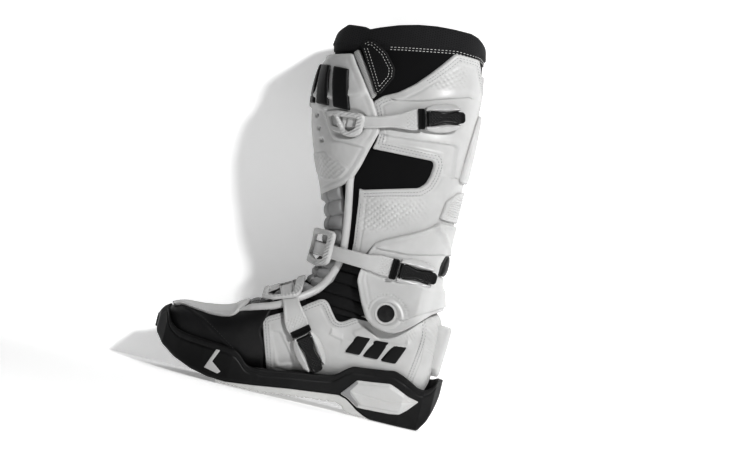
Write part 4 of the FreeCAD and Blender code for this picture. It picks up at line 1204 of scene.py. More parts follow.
@dataclass
class FootUpper:
    """Liner, insole, toe vamp, overlay, quarters, counter and fin of the foot."""
    wall: float = 2.2

    def build(self, shop: Workshop) -> None:
        """Makes every piece of the foot's upper."""
        self.liner(shop)
        self.toe(shop)
        self.quarters(shop)
        self.heel(shop)

    def liner(self, shop: Workshop) -> None:
        """Liner: the whole foot surface less its mouth; the insole is a plate on its floor."""
        end = FOOT.along[-1] - 0.5
        rim = np.array([(-131.5, 0.5), (131.5, 0.5), (131.5, end), (-131.5, end)], float)
        mouth = FOOT.trace([(-6, 99, -1), (60, 99, -1), (127, 99, -1), (127, 99, 1), (60, 99, 1),
                            (-6, 99, 1)],
                           off=-1.0, soft=3)
        piece = panel("foot_liner", FOOT, resample(rim, 1.6), -2.8, 2.7, 2.2, 0.6, holes=[mouth])
        shop.fit(piece, BLACK_FABRIC, "foot", "foot_lining")
        outline = np.concatenate([np.stack([np.linspace(-132, 128, 90),
                                            -(sole_half(np.linspace(-132, 128, 90), -1) - 17)], 1),
                                  np.stack([np.linspace(128, -132, 90),
                                            sole_half(np.linspace(128, -132, 90), 1) - 17], 1)])
        floor = PlaneSurface((0, 0, 0), (1, 0, 0), (0, 1, 0), (0, 0, 1))
        heights = np.array([(-139, 46), (-126, 35), (-105, 26), (-80, 23), (-55, 24), (-30, 27), (0, 30),
                            (35, 33.5), (134, 34)], float)
        lie = lambda u, v, d: np.interp(u, heights[:, 0], heights[:, 1]) - 4.5
        dots_in = dots(None, 9.0, 1.6, -0.5)
        piece = panel("insole", floor, soften(resample(outline, 1.6), 4), 0, 4.0, 2.0, 1.5, dots_in,
                      floor=lie)
        shop.fit(piece, FOAM_BLACK, "foot", "footbed")

    def toe(self, shop: Workshop) -> None:
        """Black vamp over the toes with a seam ridge, and the white overlay above it with embossed dots."""
        v0, x_v = 0.8, foot_v
        ring = np.array([(-112, v0), (-112, x_v(-120)), (-116, x_v(-60)), (-112, x_v(-30)), (-75, x_v(-36)),
                         (-62, x_v(-43)), (-45, x_v(-38)), (-20, x_v(-40)), (20, x_v(-40)), (60, x_v(-38)),
                         (112, x_v(-30)), (116, x_v(-60)), (112, x_v(-120)), (112, v0)], float)
        ridge = FOOT.trace([(-60, 30), (-75, 41), (-92, 52), (-106, 60), (-120, 65.5),
                            (-130, 67)], off=2.4, closed=False)
        relief = add_up(line_bump(ridge, 0.9, 1.6), line_bump(ridge + (0, 2.4), -0.35, 0.6))
        shop.fit(panel("toe_vamp_skin", FOOT, soften(resample(ring, 1.0), 3), 0.1, self.wall, 1.3, 1.0,
                       relief),
                 BLACK_LEATHER, "foot", "toe_vamp")
        seam = [ridge + (0, 3.2)]
        shop.fit(thread("toe_vamp_stitch", FOOT, seam, self.wall + 0.1), THREAD_BLACK, "foot")
        cap = FOOT.trace([(-139.5, 66, -1), (-133, 68.5, -1), (-128, 69, -1), (-115, 68, -1),
                          (-100, 66.8, -1), (-88, 67.3, -1), (-78, 69.8, -1), (-73, 73.5, -1), (-69, 80, -1),
                          (-66, 85.5, -1), (-63.5, 88, -0.5), (-61.5, 88, 0), (-62.5, 86, 0.5),
                          (-62.5, 80, 1), (-70.3, 75, 1), (-92.3, 65, 1), (-110.4, 57, 1), (-128, 49, 1),
                          (-137, 54, 1), (-140.5, 60, 0.6), (-141.5, 62, 0)], off=4.4, soft=2)
        middle = cap.mean(axis=0)
        inner = middle + (cap - middle) * 0.8
        lines = add_up(rim_bump(4.0, -0.35, 0.55), dots(inner, 4.6, 0.9, -0.5, 1.5),
                       lambda u, v, d: 1.3 * ease((v - (foot_v(-68) - 7)) / 6) * ease((d - 0.5) / 2.0))
        shop.fit(panel("toe_overlay_skin", FOOT, cap, 2.3, 2.3, 1.0, 1.4, lines), WHITE_LEATHER, "foot",
                 "toe_overlay")
        shop.fit(thread("toe_overlay_stitch", FOOT, [inset_line(cap, 2.4, 0.02, 0.42)], 4.5, 3.0),
                 THREAD_WHITE, "foot")

    def quarters(self, shop: Workshop) -> None:
        """White side panels with stitched edges, pockets and ridges."""
        outer = FOOT.trace([(-28.3, 22), (-44, 71), (-43, 76), (-40, 79.5), (-28, 86), (-12, 94.5), (0, 104),
                            (8, 109.5), (13, 110.5), (18, 107.5), (24, 99), (30, 91.5), (34, 90.7),
                            (38, 92.5), (47, 99), (56, 104), (66, 104), (90, 106), (104, 112), (117, 118),
                            (124, 104), (127, 88), (125, 68), (121, 48), (121, 34), (60, 30),
                            (40, 22)], off=3.0, soft=2)
        pocket = FOOT.trace([(-33, 65), (-24, 66), (-2, 38), (-18, 32)], off=3.0, soft=3)
        boss = FOOT.trace([(48, 83), (60, 92), (78, 81), (55, 78)], off=3.0, soft=2)
        ridge = FOOT.trace([(27, 76), (37, 73.5), (60, 75), (80, 78), (105, 83)], off=3.0, closed=False)
        dot_zone = FOOT.trace([(86, 84), (112, 88), (118, 108), (104, 104), (90, 97)], off=3.0, soft=3)
        relief = add_up(plateau(pocket, -1.5, 2.2), plateau(boss, 1.1, 2.0), swage(ridge, 1.3, 5.0),
                        dots(dot_zone, 4.4, 1.0, -0.6, 3.0), rim_bump(8.0, -0.35, 0.8),
                        lambda u, v, d: 0.35 * np.sin(v / 23.0 + u / 17.0) * ease(d / 12))
        piece = panel("quarter_outer_skin", FOOT, outer, 0.1, self.wall + 0.1, 1.0, 1.2, relief)
        shop.fit(piece, WHITE_LEATHER, "foot", "quarter_outer")
        rows = [inset_line(outer, k, a, b) for a, b in ((0.86, 0.999), (0.0, 0.34)) for k in (3.0, 5.6)]
        rear = [FOOT.trace([(116 + k, 117), (121.5 + k, 106), (123 + k, 95), (122 + k, 80), (120 + k, 65),
                            (118 + k, 49)],
                           off=3.0, closed=False) for k in (0, -3)]
        shop.fit(thread("quarter_outer_stitch", FOOT, [r for r in rows + rear if len(r) > 6], self.wall + 0.2,
                        2.9, 2.0,
                        0.6, 0.4), THREAD_GREY, "foot", slot="white_leather")
        for k, shift in enumerate((0, 19, 38)):
            bar = FOOT.trace([(46 + shift, 61.5), (61 + shift, 62), (68 + shift * 1.02, 81.5),
                              (54 + shift * 1.02, 80.5)],
                             off=3.5, soft=1)
            shop.fit(panel(f"heel_bar_{k + 1}", FOOT, bar, self.wall + 0.1, 1.7, 0.8, 0.6), BADGE_BLACK,
                     "foot", *(["heel_badge"] if k == 0 else []))
        inner = FOOT.trace([(-118, 22), (-127, 40), (-110, 54), (-92, 63), (-70, 73), (-50, 81), (-28, 88.5),
                            (-8, 98), (10, 106), (30, 112), (48, 106), (66, 100), (90, 104), (104, 112),
                            (117, 118), (124, 104), (127, 88), (125, 68), (121, 48), (121, 34), (40, 30),
                            (0, 24), (-30, 20)], Side.INNER, 3.0, 2)
        lines = [FOOT.trace(k, Side.INNER, 3.0, closed=False) for k in (
            [(-5, 62), (15, 68), (35, 71), (60, 70), (90, 60)], [(-25, 80), (-27, 66), (-28, 50)],
            [(-100, 55), (-70, 62), (-40, 60), (-30, 56)])]
        patch = FOOT.trace([(62, 77), (90, 65), (105, 75), (85, 100)], Side.INNER, 3.0, 3)
        relief = add_up(*(line_bump(k, 0.9, 1.5) for k in lines), plateau(patch, -0.6, 1.6),
                        dots(patch, 4.6, 1.1, 0.6))
        shop.fit(panel("quarter_inner_skin", FOOT, inner, 0.1, self.wall + 0.1, 1.1, 1.2, relief),
                 WHITE_LEATHER, "foot",
                 "quarter_inner")
        rows = [inset_line(inner, k, 0.04, 0.62) for k in (3.0, 5.6)]
        shop.fit(thread("quarter_inner_stitch", FOOT, [r for r in rows if len(r) > 6], self.wall + 0.2, 2.9,
                        2.0, 0.6, 0.4),
                 THREAD_GREY, "foot", slot="white_leather")

    def heel(self, shop: Workshop) -> None:
        """Counter that cups the heel, with a faceted fin at the back."""
        v = foot_v
        ring = np.array([(-108, v(116)), (-90, v(118)), (-66, v(120.5)), (-48, v(120)), (-34, v(116)),
                         (-20, v(113)), (20, v(113)), (34, v(116)), (48, v(120)), (66, v(120.5)),
                         (90, v(118)), (108, v(116)), (108, FOOT.along[-1]), (-108, FOOT.along[-1])], float)
        ribs = lambda u, v, d: 0.2 * np.cos(2 * np.pi * u / 5.0) * ease((d - 3) / 2) * (np.abs(u) < 58)
        shop.fit(panel("heel_counter_skin", FOOT, soften(resample(ring, 1.0), 2), 0.4, self.wall, 1.0, 1.0,
                       ribs),
                 WHITE_SHELL, "foot", "heel_counter")
        t = np.linspace(0, 1, 60)
        z = 58 + 52.5 * t
        back = np.interp(z, [58, 62, 70, 95, 108, 110.5], [145.2, 146.6, 146.8, 148.2, 148.2, 146.5])
        front = np.interp(z, [58, 66, 95, 110.5], [139, 133, 128.5, 128])
        half = np.interp(z, [58, 66, 90, 110.5], [14, 20, 23, 21])
        s = np.linspace(0, 1, 40)
        x = front[:, None] + (back - front)[:, None] * np.sin(np.pi * np.clip(s, 0, 1)) ** 0.42
        y = half[:, None] * np.cos(np.pi * s)
        crease = 1.2 * np.exp(-(np.abs(np.abs(y) - 11) / 1.0) ** 2)
        x = x - crease * np.sin(np.pi * s)
        close = front[:, None] - 3.0 + 0 * s[:12]
        ring_x = np.concatenate([x, close], axis=1)
        ring_y = np.concatenate([y, half[:, None] * np.linspace(-1, 1, 14)[1:-1]], axis=1)
        ring_z = np.broadcast_to(z[:, None], ring_x.shape)
        shop.fit(loft("heel_fin_body", np.stack([ring_x, ring_y, ring_z], axis=2), sharp=35.0), WHITE_SHELL,
                 "foot",
                 "heel_fin")


# ------------------------------------------------------------------ tongue and ankle
@dataclass
class Tongue:
    """White quilted tongue from the instep to the shin, its two soft rails, and the black ankle gaiter."""
    thickness: float = 4.2
    rail_radius: float = 4.1

    def rail(self, shop: Workshop, side: Side, name: str) -> None:
        """Soft rail: a flattened tube along a smooth path beside the tongue, from the toes to the shin.

        Args:
            shop: the workshop.
            side: side of the boot.
            name: the side's name.
        """
        low = np.array([(-70, 77), (-62, 81), (-50, 85.5), (-40, 89), (-28, 94.5), (-17, 102)], float)
        high = np.array([(6, 121), (13, 134), (17.5, 147), (19, 160), (18, 175), (15.5, 195), (12, 215),
                         (8.5, 235), (7.5, 247)], float)
        knots = [carrier.point(*carrier.locate(k[:, 0], k[:, 1], float(side.value), 3.0).T, 3.0 + 0 * k[:, 0])
                 for carrier, k in ((FOOT, low), (SHAFT, high))]
        knots = np.concatenate(knots)
        along = np.concatenate([[0.0], np.cumsum(np.linalg.norm(np.diff(knots, axis=0), axis=1))])
        s = np.linspace(0, along[-1], 260)
        path = np.stack([hermite(along, knots[:, k], s) for k in range(3)], axis=1)
        tangent = np.gradient(path, axis=0)
        tangent /= np.linalg.norm(tangent, axis=1, keepdims=True)
        sideways = np.array([0.0, float(side.value), 0.0])
        outward = sideways - tangent * (tangent @ sideways)[:, None]
        outward /= np.linalg.norm(outward, axis=1, keepdims=True)
        across = np.cross(tangent, outward)
        a = np.linspace(0, 2 * np.pi, 28, endpoint=False)
        taper = (0.35 + 0.65 * ease(s / 14) * ease((along[-1] - s) / 10))[:, None]
        points = (path[:, None] + (np.cos(a) * self.rail_radius * taper)[..., None] * across[:, None]
                  + (np.sin(a) * self.rail_radius * 0.8 * taper)[..., None] * outward[:, None])
        piece = loft(f"tongue_rail_{name}", points, np.stack(np.meshgrid(s, a * 4, indexing="ij"), axis=2))
        shop.fit(piece, WHITE_RAIL, "", f"rail_lower_{name}", f"rail_upper_{name}")
        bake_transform(piece)

    def build(self, shop: Workshop) -> None:
        """Makes the tongue, its stitches, its rails and the gaiter; none of them is put on a body."""
        top = TONGUE.at_height(351.5)
        v = np.linspace(0.5, top, 80)
        rows = np.array([(0, 32), (40, 33), (62, 33), (80, 38), (100, 41), (140, 43), (180, 44), (230, 41),
                         (300, 38), (360, 36)])
        reach = np.interp(v, rows[:, 0], rows[:, 1])
        width = hermite(TONGUE.along, TONGUE_ROWS[:, 2], v) + 3
        across = TONGUE.radius * np.arcsin(np.clip(reach / width, 0, 0.985) ** (TONGUE.power / 2))
        ring = np.concatenate([np.stack([-across, v], 1), np.stack([across, v], 1)[::-1]])
        seams = [TONGUE.at_height(z)
                 for z in (92, 99, 106, 113, 121, 130, 140, 151, 164, 178, 192, 206, 220, 240, 262,
                                              284, 306, 328)]

        def quilt(u: Array, v: Array, d: Array) -> Array:
            gap = np.min([np.abs(v - s - 0.0016 * u * u) for s in seams], axis=0)
            sides = np.abs(np.abs(u) - 21)
            return (1.9 * (1 - np.exp(-(gap / 3.6) ** 2)) - 1.2 * np.exp(-(gap / 0.6) ** 2)
                    - 1.3 * np.exp(-(sides / 0.9) ** 2)) * ease(d / 3)
        piece = panel("tongue_quilted", TONGUE, resample(ring, 1.0), 0.3, self.thickness - 1.6, 1.1, 1.6,
                      quilt)
        shop.fit(piece, QUILT_WHITE, "", "tongue_lower", "tongue_flex", "tongue_upper")
        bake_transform(piece)
        rows = [np.stack([k * 21 + 0 * v[8:], v[8:]], 1) for k in (-1, 1)]
        stitch = thread("tongue_stitch", TONGUE, rows, self.thickness - 2.2, 3.2, 2.0, 0.55, 0.5)
        shop.fit(stitch, THREAD_GREY, "", slot="tongue_fabric")
        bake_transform(stitch)
        for side, name in ((Side.OUTER, "outer"), (Side.INNER, "inner")):
            self.rail(shop, side, name)
        u = np.linspace(-176, 176, 260, endpoint=False)
        z_out = np.linspace(97.5, 166, 110)
        z_path = np.concatenate([z_out, z_out[::-3]])
        off = np.concatenate([np.full(110, 1.2), np.full(len(z_out[::-3]), -2.6)])
        uu, zz = np.meshgrid(u, z_path, indexing="ij")
        offs = np.broadcast_to(off, uu.shape).copy()
        curve = 0.9 * np.cos(uu / 56.0)
        seams = np.array([102, 114, 127, 140, 153, 166], float)
        gap = np.abs(zz[..., None] - seams - 3 * curve[..., None]).min(axis=-1)
        offs += np.where(offs > 0, 1.0 * (1 - np.exp(-(gap / 3.0) ** 2)) - 1.4 * np.exp(-(gap / 0.7) ** 2), 0)
        points = SHAFT.point(uu.ravel(), zz.ravel(), offs.ravel()).reshape(*uu.shape, 3)
        piece = ring_shell("ankle_gaiter_quilted", points, np.stack([uu, zz], axis=2))
        shop.fit(piece, GAITER_BLACK, "", "ankle_gaiter")
        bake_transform(piece)


# ------------------------------------------------------------------ calf
@dataclass
class CalfShells:
    """Liner, moulded shells, burn guard, inner panel and back plates of the calf."""
    base: float = 0.2
    wall: float = 3.0

    def build(self, shop: Workshop) -> None:
        """Makes every piece between the ankle and the collar."""
        self.liner(shop)
        self.outer(shop)
        self.inner(shop)
        self.back(shop)

    def liner(self, shop: Workshop) -> None:
        """Liner: a tube from the ankle to below the collar, with a rolled rim."""
        u = np.linspace(-176, 176, 200, endpoint=False)
        rise = np.linspace(0, 1, 124)
        path, off = np.concatenate([rise, rise[::-1]]), np.concatenate([np.full(124, -0.1),
            np.full(124, -2.9)])
        uu = np.broadcast_to(u[:, None], (len(u), 248))
        zz = 150 + (Collar().heights(u)[1] - 9 - 150)[:, None] * path
        points = SHAFT.point(uu.ravel(), zz.ravel(),
                             np.broadcast_to(off, uu.shape).ravel()).reshape(*uu.shape, 3)
        piece = ring_shell("calf_liner", points, np.stack([uu, zz], axis=2))
        shop.fit(piece, BLACK_FABRIC, "calf", "calf_lining")

    def outer(self, shop: Workshop) -> None:
        """Outer shell: creases, dimples, small bumps and two rows of stitches inside its rim."""
        ring = SHAFT.trace([(26.5, 152), (26.5, 170), (25, 183), (21, 215), (18.5, 229), (22, 227.5),
                            (50, 235), (80, 243), (86, 249), (89, 258), (90, 269), (88, 273), (22, 270.5),
                            (24, 278), (25, 286), (18, 303), (11, 317), (20, 325.5), (35, 333), (50, 345),
                            (62, 358), (73, 371), (84, 385.5), (109, 386), (113, 377), (119, 361), (124, 345),
                            (150, 337), (150, 152)], off=3.2, soft=2)
        crease = [SHAFT.trace(k, off=3.2, closed=False) for k in (
            [(35, 325), (60, 331), (104, 346)], [(35, 288), (60, 290), (103, 295), (107, 293), (110, 262)],
            [(30, 282), (60, 283), (96, 285), (100, 262)])]
        bumps = SHAFT.trace([(60, 340), (58, 347), (70, 361), (84, 380), (101, 381),
                             (104, 352)], off=3.2, soft=3)
        dimples = SHAFT.trace([(27, 180), (23, 216), (23, 226), (60, 232), (92, 238), (96, 214),
                               (60, 190)], off=3.2, soft=3)
        relief = add_up(swage(crease[0], 2.3, 7.0), swage(crease[1], 2.1, 7.0), swage(crease[2], -0.7, 5.0),
                        rim_bump(8.2, -0.6, 0.8), dots(bumps, 5.6, 1.35, 1.0, 9.0),
                        dots(dimples, 6.0, 1.5, -1.15, 12.0))
        piece = panel("calf_shell_outer_skin", SHAFT, ring, self.base, self.wall - 0.2, 0.95, 1.6, relief)
        shop.fit(piece, WHITE_SHELL, "calf", "calf_shell_outer")
        window = SHAFT.trace([(22, 227.5), (50, 235), (80, 243), (86, 249), (89, 258), (90, 269), (88, 273),
                              (22, 270.5)],
                             off=3.2, soft=2)
        rows = [inset_line(window, -k, 0.02, 0.98) for k in (3.6, 6.6)]
        edge = [inset_line(ring, k, a, b) for k in (3.4, 6.0) for a, b in ((0.30, 0.40), (0.43, 0.60))]
        front = [inset_line(ring, k, 0.02, 0.085) for k in (3.4,)]
        shop.fit(thread("calf_shell_outer_stitch", SHAFT, [r for r in edge + front if len(r) > 6],
                        self.base + self.wall - 0.25,
                        2.9, 2.0, 0.6, 0.4), THREAD_GREY, "calf", slot="white_shell")
        rows = [SHAFT.trace(k, off=3.2, closed=False) for k in (
            [(24, 223.5), (50, 231), (81, 239), (89.5, 246.5), (92.8, 257), (94, 270), (91, 276.5),
             (28, 274.5)],
            [(24, 220.5), (51, 228), (83, 236), (92, 245), (95.8, 257), (97, 271), (93, 279.5), (29, 277.5)])]
        shop.fit(thread("calf_window_stitch", SHAFT, rows, self.base + self.wall - 0.25, 2.9, 2.0, 0.6, 0.4),
                 THREAD_GREY, "calf", slot="white_shell")

    def inner(self, shop: Workshop) -> None:
        """Inner shell, burn guard and lower panel of the inner side."""
        shell = SHAFT.trace([(45, 152), (45, 214), (94, 246), (106, 276), (106, 330), (108, 374), (119, 372),
                             (124, 345), (150, 340), (150, 152)], Side.INNER, 3.2, 2)
        shop.fit(panel("calf_shell_inner_skin", SHAFT, shell, self.base, self.wall - 0.2, 1.2, 1.6,
                       rim_bump(7, -0.4, 0.7)),
                 WHITE_SHELL, "calf", "calf_shell_inner")
        guard = SHAFT.trace([(3, 304), (3, 262), (20, 244), (41, 230), (45.4, 217), (93, 248), (105, 277),
                             (105, 330), (100, 351), (60, 365), (3, 352)], Side.INNER, 3.2, 2)

        def grooves(u: Array, v: Array, d: Array) -> Array:
            phase = (v + 0.75 * np.abs(u - 78)) / 15.0
            return -0.7 * np.exp(-(((phase - np.round(phase)) * 15.0) / 1.1) ** 2) * ease((d - 6) / 3) \
                - 0.4 * np.exp(-((d - 5) / 0.7) ** 2)
        shop.fit(panel("burn_guard_skin", SHAFT, guard, self.base, self.wall - 0.2, 1.2, 1.6, grooves),
                 TRIM_BLACK, "calf",
                 "burn_guard")
        shop.fit(thread("burn_guard_stitch", SHAFT, [inset_line(guard, 2.6)], self.base + self.wall - 0.25,
                        3.2, 2.2),
                 THREAD_GREY, "calf", slot="black_trim")
        lower = SHAFT.trace([(3, 153), (3, 260), (20, 242.5), (40, 228.5), (44.5, 213),
                             (44.5, 153)], Side.INNER, 3.2, 2)
        shop.fit(panel("inner_panel_skin", SHAFT, lower, self.base, self.wall - 0.2, 1.2, 1.4,
                       add_up(rim_bump(5, -0.4, 0.7), dots(lower, 5.0, 1.2, -0.5, 10))), WHITE_SHELL, "calf",
                 "inner_panel")

    def back(self, shop: Workshop) -> None:
        """Plates down the back: spine plate and ribbed tendon panel."""
        spine = SHAFT.trace([(119, 259, -1), (121, 300, -1), (123, 331, -1), (150, 331, -1), (150, 331, 1),
                             (123, 331, 1), (121, 300, 1), (119, 259, 1), (150, 259, 1),
                             (150, 259, -1)], off=5.0, soft=2, wrap=True)
        ribs = add_up(rim_bump(3.2, -0.5, 0.8), lambda u, v,
                      d: 0.6 * np.exp(-((np.abs(u - 176) - 9) / 1.4) ** 2) * ease(d / 5))
        shop.fit(panel("spine_plate_skin", SHAFT, spine, 3.4, 3.2, 1.0, 1.6, ribs), WHITE_SHELL, "calf",
                 "spine_plate")
        tendon = SHAFT.trace([(108, 217, -1), (111, 237, -1), (121, 248, -1), (150, 254, -1), (150, 254, 1),
                              (121, 248, 1), (111, 237, 1), (108, 217, 1), (150, 217, 1),
                              (150, 217, -1)], off=5.0, soft=2, wrap=True)
        lines = lambda u, v, d: 0.45 * np.cos(2 * np.pi * v / 2.6) * ease((d - 2.5) / 1.5)
        shop.fit(panel("achilles_panel_skin", SHAFT, tendon, 3.2, 2.6, 0.8, 1.2, lines), WHITE_SHELL, "calf",
                 "achilles_panel")


@dataclass
class Braces:
    """Hinged brace halves round the ankle with their bolts, rings, rear strap and studded grip pad."""
    base: float = 3.4
    wall: float = 3.2

    def build(self, shop: Workshop) -> None:
        """Makes the braces and dresses the bolts that stay."""
        place = {Side.OUTER: "outer", Side.INNER: "inner"}
        for side, name in place.items():
            ring = BRACE.trace([(42, 149), (42, 136), (50, 115), (57, 100.5), (65, 94), (77, 91), (87, 92.5),
                                (96, 98.8), (119, 120.5), (130, 126.5), (139, 131), (150, 131), (150, 159),
                                (119, 159.5), (119, 172), (122, 182), (150, 186), (150, 214), (108, 214),
                                (103, 208.5), (96, 203), (80, 194.5), (60, 185), (49, 178),
                                (44.5, 168)], side, 5.0, 2)
            shop.fit(panel(f"brace_{name}_shell", BRACE, ring, self.base, self.wall, 1.0, 1.4,
                           self.relief(side)),
                     WHITE_SHELL, "calf", f"brace_{name}")
        shop.dress_node("pivot_bolts", BOLT_BLACK)
        shop.dress_node("pivot_rings", WHITE_SHELL)
        shop.dress_node("rear_strap", TRIM_BLACK)
        dome = BRACE.trace([(120, 161, -1), (121, 172, -1), (124, 181, -1), (150, 185, -1), (150, 185, 1),
                            (124, 181, 1), (121, 172, 1), (120, 161, 1), (150, 161, 1),
                            (150, 161, -1)], off=4.0, soft=2, wrap=True)
        round_up = lambda u, v, d: 2.6 * np.sqrt(np.clip(1 - ((10 - np.minimum(d, 10)) / 10) ** 2, 0, 1))
        shop.fit(panel("rear_dome", BRACE, dome, self.base + 1.0, 1.4, 0.9, 0.8, round_up), BADGE_BLACK,
                 "calf",
                 slot="black_trim")
        self.grip(shop)

    def relief(self, side: Side) -> Relief:
        """Collar and dotted arc round the bolt, and two long creases above it."""
        creases = [BRACE.trace(k, side, 5.0, closed=False) for k in (
            [(57, 174), (85, 175.5), (100, 179), (116, 183)], [(90, 108), (100, 116), (120, 127), (134, 133)],
            [(48, 160), (50, 140), (58, 118)], [(101, 213), (114, 203), (124, 188), (128, 176)])]

        def shape(u: Array, v: Array, d: Array) -> Array:
            p = BRACE.point(u, v, 4.0)
            dx, dz = p[:, 0] - PIVOT[0], p[:, 2] - PIVOT[2]
            r, a = np.hypot(dx, dz), np.arctan2(dz, dx)
            arc = np.abs((a * 20 / 3.2) % 1 - 0.5) < 0.28
            return (1.1 * np.exp(-((r - 12.6) / 1.2) ** 2) - 0.9 * ease((11.2 - r) / 0.8) - 0.6
                    * np.exp(-((r - 16.4) / 0.7) ** 2)
                    - 0.7 * arc * (np.abs(r - 19.5) < 0.9) * (a > -0.3)
                    + swage(creases[0], 2.3, 9.0)(u, v, d) + swage(creases[1], 2.3, 8.0)(u, v, d)
                    + line_bump(creases[3], 2.2, 3.0)(u, v, d) + line_bump(creases[2], -0.5, 1.0)(u, v, d)
                    - 0.4 * np.exp(-((d - 4.5) / 0.7) ** 2))
        return shape

    def grip(self, shop: Workshop) -> None:
        """Studded rubber pad on the inner side."""
        ring = BRACE.trace([(53, 181), (84, 206), (96, 200), (99, 150), (86, 128), (70, 126), (55, 130),
                            (52, 150)],
                           Side.INNER, 8.0, 3)
        relief = add_up(dots(ring, 11.0, 2.4, 1.4, 2.0), rim_bump(3.0, 0.5, 1.0))
        shop.fit(panel("grip_pad_skin", BRACE, ring, self.base + self.wall + 0.1, 2.6, 1.0, 1.4, relief),
                 TRIM_BLACK,
                 "calf", "grip_pad")


# ------------------------------------------------------------------ collar
@dataclass
class Collar:
    """Padded collar: a plump tube of spacer mesh with a flat sewn band along its lower edge."""
    inner: float = -4.0
    outer: float = 3.4

    def heights(self, u: Array) -> tuple[Array, Array]:
        """Lower and upper edge of the collar round the leg, read at the place the section has there."""
        x = SHAFT.point(u, np.full_like(u, 385.0), 2.0 + 0 * u)[:, 0]
        low = np.interp(x, [-40, -32, -9, 12, 30, 50, 70, 84, 109, 122],
                        [359, 361, 366, 371, 374.5, 378, 381.5, 384, 384, 377])
        top = np.interp(x, [-40, -35, -31, -15, -9, 0, 20, 40, 60, 80, 98, 106, 112, 118],
                        [380, 386, 390, 390.5, 389, 393, 400, 405, 408, 409.3, 409.8, 408, 404, 398])
        return low, top

    def build(self, shop: Workshop) -> None:
        """Makes the pad and its seam stitches."""
        count = 240
        u = np.linspace(-176, 176, count, endpoint=False)
        low, top = self.heights(u)
        t = np.linspace(0, 2 * np.pi, 44, endpoint=False)
        mid, rise = (low + top) / 2, (top - low) / 2
        z = mid[:, None] - rise[:, None] * np.sign(np.cos(t)) * np.abs(np.cos(t)) ** 0.55
        swell = np.sign(np.sin(t)) * np.abs(np.sin(t)) ** 0.55
        centre, half = (self.inner + self.outer) / 2, (self.outer - self.inner) / 2
        front = ease((-(np.abs(u) - 62)) / 18)[:, None]
        off = centre + half * swell + 1.8 * front * np.maximum(swell, 0)
        off -= 1.9 * ease((6.6 - (z - low[:, None])) / 1.2) * (swell > 0)
        uu = np.broadcast_to(u[:, None], z.shape)
        points = SHAFT.point(uu.ravel(), z.ravel(), off.ravel()).reshape(*z.shape, 3)
        piece = ring_shell("collar_pad", points, np.stack([uu, z + off], axis=2), 80.0)
        shop.fit(piece, COLLAR_MESH, "calf", "collar")
        rows = []
        for lift in (1.7, 4.2):
            keep = np.abs(u) > 66
            line = np.stack([u, low + lift], axis=1)
            rows += [line[keep & (u < 0)], line[keep & (u > 0)]]
        shop.fit(thread("collar_stitch", SHAFT, rows, self.outer - 2.1, 3.2, 2.2, 0.8, 0.5), THREAD_WHITE,
                 "calf",
                 slot="collar_fabric")


